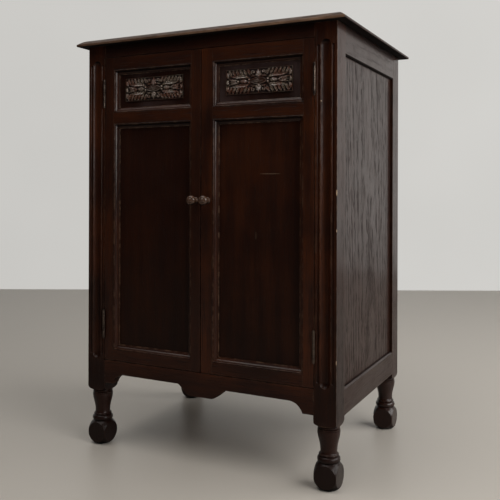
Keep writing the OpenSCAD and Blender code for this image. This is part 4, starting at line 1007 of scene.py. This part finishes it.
class CABINET_OT_screws(bpy.types.Operator):
    """Put the screws in the hinges, the stay, the motor board and the escutcheon"""
    bl_idname = "cabinet.screws"
    bl_label = "Drive the screws"

    def execute(self, context):
        sizes = context.scene.cabinet_fittings
        look = context.scene.cabinet_metal
        brass = cast_or_plated("screw_brass", look.brass, look.tarnish, 0.50, 0.28, 0.02)
        steel = cast_or_plated("screw_steel", look.steel, look.oily, 0.55, 0.28, 0.02)

        carcass = []
        for side, word in ((LEFT, "left"), (RIGHT, "right")):
            low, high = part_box(f"{word}_hinge_leaves")
            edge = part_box(f"{word}_door_stiles")[0 if side == LEFT else 1].x
            spots = [Vector((edge, -230 * MM, z)) for z in along_leaves(low.z, high.z)]
            screws(f"{word}_door_screws", f"{word}_door", brass,
                   [(spot, (side, 0, 0)) for spot in spots], sizes.screw)
            leaf = Vector((side * 1.5 * MM, 0, 0))
            carcass += [(spot + leaf, (-side, 0, 0)) for spot in spots]
        low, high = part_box("lid_hinge_leaves")
        places = along_leaves(low.x, high.x)
        carcass += [(Vector((x, 240.7 * MM, 966.5 * MM)), (0, 1, 0)) for x in places]
        screws("carcass_hinge_screws", "carcass", brass, carcass, sizes.screw)
        screws("lid_hinge_screws", "lid", brass,
               [(Vector((x, 230 * MM, low.z)), (0, 0, -1)) for x in places], sizes.screw)

        low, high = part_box("lid_stay")
        plate = Vector(((low.x + high.x) / 2 + 3 * MM, 143 * MM, 980.5 * MM))
        screws("stay_screws", "lid", brass,
               [(plate + Vector((0, y, 0)), (0, 0, -1)) for y in (5 * MM, -5 * MM)], 2.4 * MM)

        low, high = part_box("crank_escutcheon")
        centre = (low + high) / 2
        spots = [Vector((low.x, centre.y + 15 * MM * a, centre.z + 15 * MM * b))
                 for a, b in three_round(math.pi / 2)]
        screws("escutcheon_screws", "carcass", steel,
               [(spot, (-1, 0, 0)) for spot in spots], 2.4 * MM)

        low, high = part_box("arm_base")
        centre = (low + high) / 2
        spots = [Vector((centre.x + 25.5 * MM * a, centre.y + 25.5 * MM * b, low.z + 5 * MM))
                 for a, b in three_round(0.5)]
        screws("arm_base_screws", "carcass", steel,
               [(spot, (0, 0, 1)) for spot in spots], 2.8 * MM, MM)

        low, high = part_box("motor_frame")
        deck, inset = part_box("motor_board")[1].z, 10 * MM
        spots = [Vector((x, y, deck)) for x in (low.x + inset, high.x - inset)
                 for y in (low.y + inset, high.y - inset)]
        screws("motor_screws", "carcass", steel, [(spot, (0, 0, 1)) for spot in spots],
               sizes.motor_screw, 2.2 * MM)
        return {"FINISHED"}


class CABINET_OT_sound_box_parts(bpy.types.Operator):
    """Fit the diaphragm and its rubber ring to the sound box"""
    bl_idname = "cabinet.sound_box_parts"
    bl_label = "Fit the sound box"

    def execute(self, context):
        low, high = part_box("sound_box")
        dish = Vector((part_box("gooseneck")[0].x - 11 * MM, (low.y + high.y) / 2, high.z - 27 * MM))
        upright = Matrix.Rotation(math.pi / 2, 4, "Y")

        finish = Finish("mica", Coat_Roughness=0.08)
        own = finish.place()
        flakes = finish.cells(own, 160.0)
        cloud = finish.noise(own, 60.0, 3.0)
        shade = finish.shaded(context.scene.cabinet_inner.mica, 0.75 + cloud * 0.35 + flakes * 0.1)
        mica = finish.paint(Base_Color=shade, Roughness=0.25 + cloud * 0.2,
                            Coat_Weight=0.5 + flakes * 0.3,
                            Normal=finish.relief(flakes, 0.00005))
        mesh = bmesh.new()
        place = Matrix.Translation(dish - Vector((0.3 * MM, 0, 0))) @ upright
        bmesh.ops.create_cone(mesh, cap_ends=True, segments=64, radius1=20.4 * MM,
                              radius2=20.4 * MM, depth=0.5 * MM, matrix=place)
        finished(mesh, "diaphragm", "neck", mica)

        ring = Finish("rubber_ring")
        grain = ring.noise(ring.place(), 700.0, 3.0)
        rubber = ring.paint(Base_Color=ring.shaded((0.030, 0.022, 0.018), 0.7 + grain * 0.6),
                            Roughness=0.62 + grain * 0.2, Normal=ring.relief(grain, 0.0001))
        mesh = bmesh.new()
        section = Matrix.Translation((0, 19.6 * MM, 0)) @ upright
        bead = bmesh.ops.create_circle(mesh, segments=10, radius=1.1 * MM, matrix=section)["verts"]
        edges = list({e for v in bead for e in v.link_edges})
        bmesh.ops.spin(mesh, geom=bead + edges, cent=(0, 0, 0), axis=(0, 0, 1),
                       angle=2 * math.pi, steps=64, use_merge=True)
        place = Matrix.Translation(dish - Vector((0.7 * MM, 0, 0))) @ upright
        bmesh.ops.transform(mesh, verts=mesh.verts, matrix=place)
        finished(mesh, "diaphragm_ring", "neck", rubber, 60)
        return {"FINISHED"}


class CABINET_OT_speed_scale(bpy.types.Operator):
    """Lay the scale of strokes round the speed lever"""
    bl_idname = "cabinet.speed_scale"
    bl_label = "Lay the speed scale"

    def execute(self, context):
        look = context.scene.cabinet_metal
        low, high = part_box("speed_lever")
        pivot = Vector(((low.x + high.x) / 2, low.y + 14 * MM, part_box("motor_board")[1].z))
        start, end = math.radians(32), math.radians(148)
        mesh = bmesh.new()
        inner, outer = (mesh.verts.new((x * MM, 0, 0)) for x in (16, 27))
        line = mesh.edges.new((inner, outer))
        bmesh.ops.rotate(mesh, verts=[inner, outer], cent=(0, 0, 0),
                         matrix=Matrix.Rotation(start, 3, "Z"))
        bmesh.ops.spin(mesh, geom=[inner, outer, line], cent=(0, 0, 0), axis=(0, 0, 1),
                       angle=end - start, steps=40)
        lifted = bmesh.ops.extrude_face_region(mesh, geom=mesh.faces[:], use_keep_orig=True)
        bmesh.ops.translate(mesh, vec=(0, 0, 0.5 * MM), verts=corners_of(lifted))
        for k in range(11):
            angle = start + (end - start) * (k + 1) / 12
            long = 5.5 if k % 5 == 0 else 3.2
            stroke = bmesh.ops.create_cube(mesh, size=1)["verts"]
            bmesh.ops.scale(mesh, verts=stroke, vec=(long * MM, 0.5 * MM, 0.3 * MM))
            bmesh.ops.translate(mesh, verts=stroke, vec=((26 - long / 2) * MM, 0, 0.55 * MM))
            bmesh.ops.rotate(mesh, verts=stroke, cent=(0, 0, 0),
                             matrix=Matrix.Rotation(angle, 3, "Z"))
        bmesh.ops.translate(mesh, verts=mesh.verts, vec=pivot)
        material = cast_or_plated("scale_brass", look.brass, look.tarnish, 0.52, 0.26, 0.02)
        finished(mesh, "speed_scale", "carcass", material, 30)
        return {"FINISHED"}


class CABINET_OT_studio(bpy.types.Operator):
    """Set the floor, the wall, the lights and the camera"""
    bl_idname = "cabinet.studio"
    bl_label = "Set up the studio"

    def execute(self, context):
        scene = context.scene
        look = scene.cabinet_studio
        turned = Matrix.Rotation(look.heading, 3, "Z")
        ahead = turned @ Vector((0, 1, 0))
        stand = Vector(look.stand)
        level, roll = Matrix.Rotation(math.pi / 2, 3, "X"), Matrix.Rotation(0.0031, 3, "Z")

        data = bpy.data.cameras.new("camera")
        data.lens = look.lens
        data.sensor_width = 36
        data.shift_y = -0.1225
        camera = bpy.data.objects.new("camera", data)
        camera.location = stand
        camera.rotation_euler = (turned @ level @ roll).to_euler()
        scene.collection.objects.link(camera)
        scene.camera = camera

        self.sheet("floor", look.floor, 0.42, turned, ahead * -1.4, (14, 8))
        behind = stand + ahead * 4.38
        self.sheet("wall", look.wall, 0.8, turned @ level, Vector((behind.x, behind.y, 2.5)),
                   (14, 5), glows=True)
        self.lamp("window", look.window, (2.6, -0.1, 1.6), (3.8, 2.0), (0.1, -0.1, 0.5),
                  (1.0, 0.985, 0.96))
        self.lamp("ceiling", look.ceiling, (-0.6, -1.0, 3.2), (2.8, 2.8), (-0.2, -0.2, 0.4),
                  (1.0, 0.97, 0.93))

        world = bpy.data.worlds.new("room")
        world.use_nodes = True
        scene.world = world
        room = world.node_tree.nodes["Background"]
        room.inputs["Color"].default_value = (*look.room, 1)
        room.inputs["Strength"].default_value = 1.0
        scene.view_settings.view_transform = "Standard"
        return {"FINISHED"}

    def sheet(self, name, tone, rough, turned, middle, size, glows=False):
        """The plain floor, or the plain wall, which glows for the camera and for reflections with a
        painted brightening a little above and to the right.
        """
        mesh = bmesh.new()
        corners = bmesh.ops.create_grid(mesh, x_segments=1, y_segments=1, size=0.5)["verts"]
        bmesh.ops.scale(mesh, verts=corners, vec=(*size, 1))
        bmesh.ops.rotate(mesh, verts=corners, cent=(0, 0, 0), matrix=turned)
        bmesh.ops.translate(mesh, verts=corners, vec=middle)
        data = bpy.data.meshes.new(name)
        mesh.to_mesh(data)
        mesh.free()
        sheet = bpy.data.objects.new(name, data)
        bpy.context.scene.collection.objects.link(sheet)
        finish = Finish(f"studio_{name}")
        own = finish.place()
        cloud = finish.noise(own, 1.3, 2.0)
        shade = finish.shaded(tone, 0.96 + cloud * 0.08)
        finish.paint(Base_Color=shade, Roughness=rough + (cloud - 0.5) * 0.06)
        if glows:
            x, _, z = finish.axes(own)
            # painted light: the wall's glow grows a little above and to the right
            finish.glowing(finish.shaded(shade, 1 + (x - middle.x) * 0.030 + (z - 0.9) * 0.014))
        set_finish(sheet, finish.material)

    def lamp(self, name, power, spot, size, target, tone):
        data = bpy.data.lights.new(name, "AREA")
        data.shape = "RECTANGLE"
        data.size, data.size_y = size
        data.energy = power
        data.color = tone
        lamp = bpy.data.objects.new(name, data)
        lamp.location = spot
        lamp.rotation_euler = (Vector(target) - Vector(spot)).to_track_quat("-Z", "Y").to_euler()
        bpy.context.scene.collection.objects.link(lamp)


class CABINET_PT_panel(bpy.types.Panel):
    """The cabinet's sizes, colours and steps"""
    bl_idname = "CABINET_PT_panel"
    bl_label = "Gramophone Cabinet"
    bl_space_type = "VIEW_3D"
    bl_region_type = "UI"
    bl_category = "Cabinet"

    def draw(self, context):
        for name in PROPERTY_GROUPS:
            group = getattr(context.scene, name)
            box = self.layout.box()
            for key in group.bl_rna.properties.keys():
                if key not in ("rna_type", "name"):
                    box.prop(group, key)
        for step in STEPS:
            self.layout.operator(step.bl_idname)


PROPERTY_GROUPS = {
    "cabinet_oak": OakFinish,
    "cabinet_inner": InnerFinish,
    "cabinet_metal": MetalFinish,
    "cabinet_carving": CarvingSizes,
    "cabinet_fittings": FittingSizes,
    "cabinet_studio": StudioSettings,
}
STEPS = (CABINET_OT_studio, CABINET_OT_oak, CABINET_OT_inner_boards, CABINET_OT_metal_and_felt,
         CABINET_OT_carvings, CABINET_OT_screws, CABINET_OT_sound_box_parts, CABINET_OT_speed_scale)


def register():
    for group in PROPERTY_GROUPS.values():
        bpy.utils.register_class(group)
    for step in STEPS:
        bpy.utils.register_class(step)
    bpy.utils.register_class(CABINET_PT_panel)
    for name, group in PROPERTY_GROUPS.items():
        setattr(bpy.types.Scene, name, PointerProperty(type=group))


def unregister():
    for name in PROPERTY_GROUPS:
        delattr(bpy.types.Scene, name)
    bpy.utils.unregister_class(CABINET_PT_panel)
    for step in reversed(STEPS):
        bpy.utils.unregister_class(step)
    for group in PROPERTY_GROUPS.values():
        bpy.utils.unregister_class(group)


def main():
    register()
    for step in STEPS:
        area, action = step.bl_idname.split(".")
        getattr(getattr(bpy.ops, area), action)()


if __name__ == "__main__":
    main()
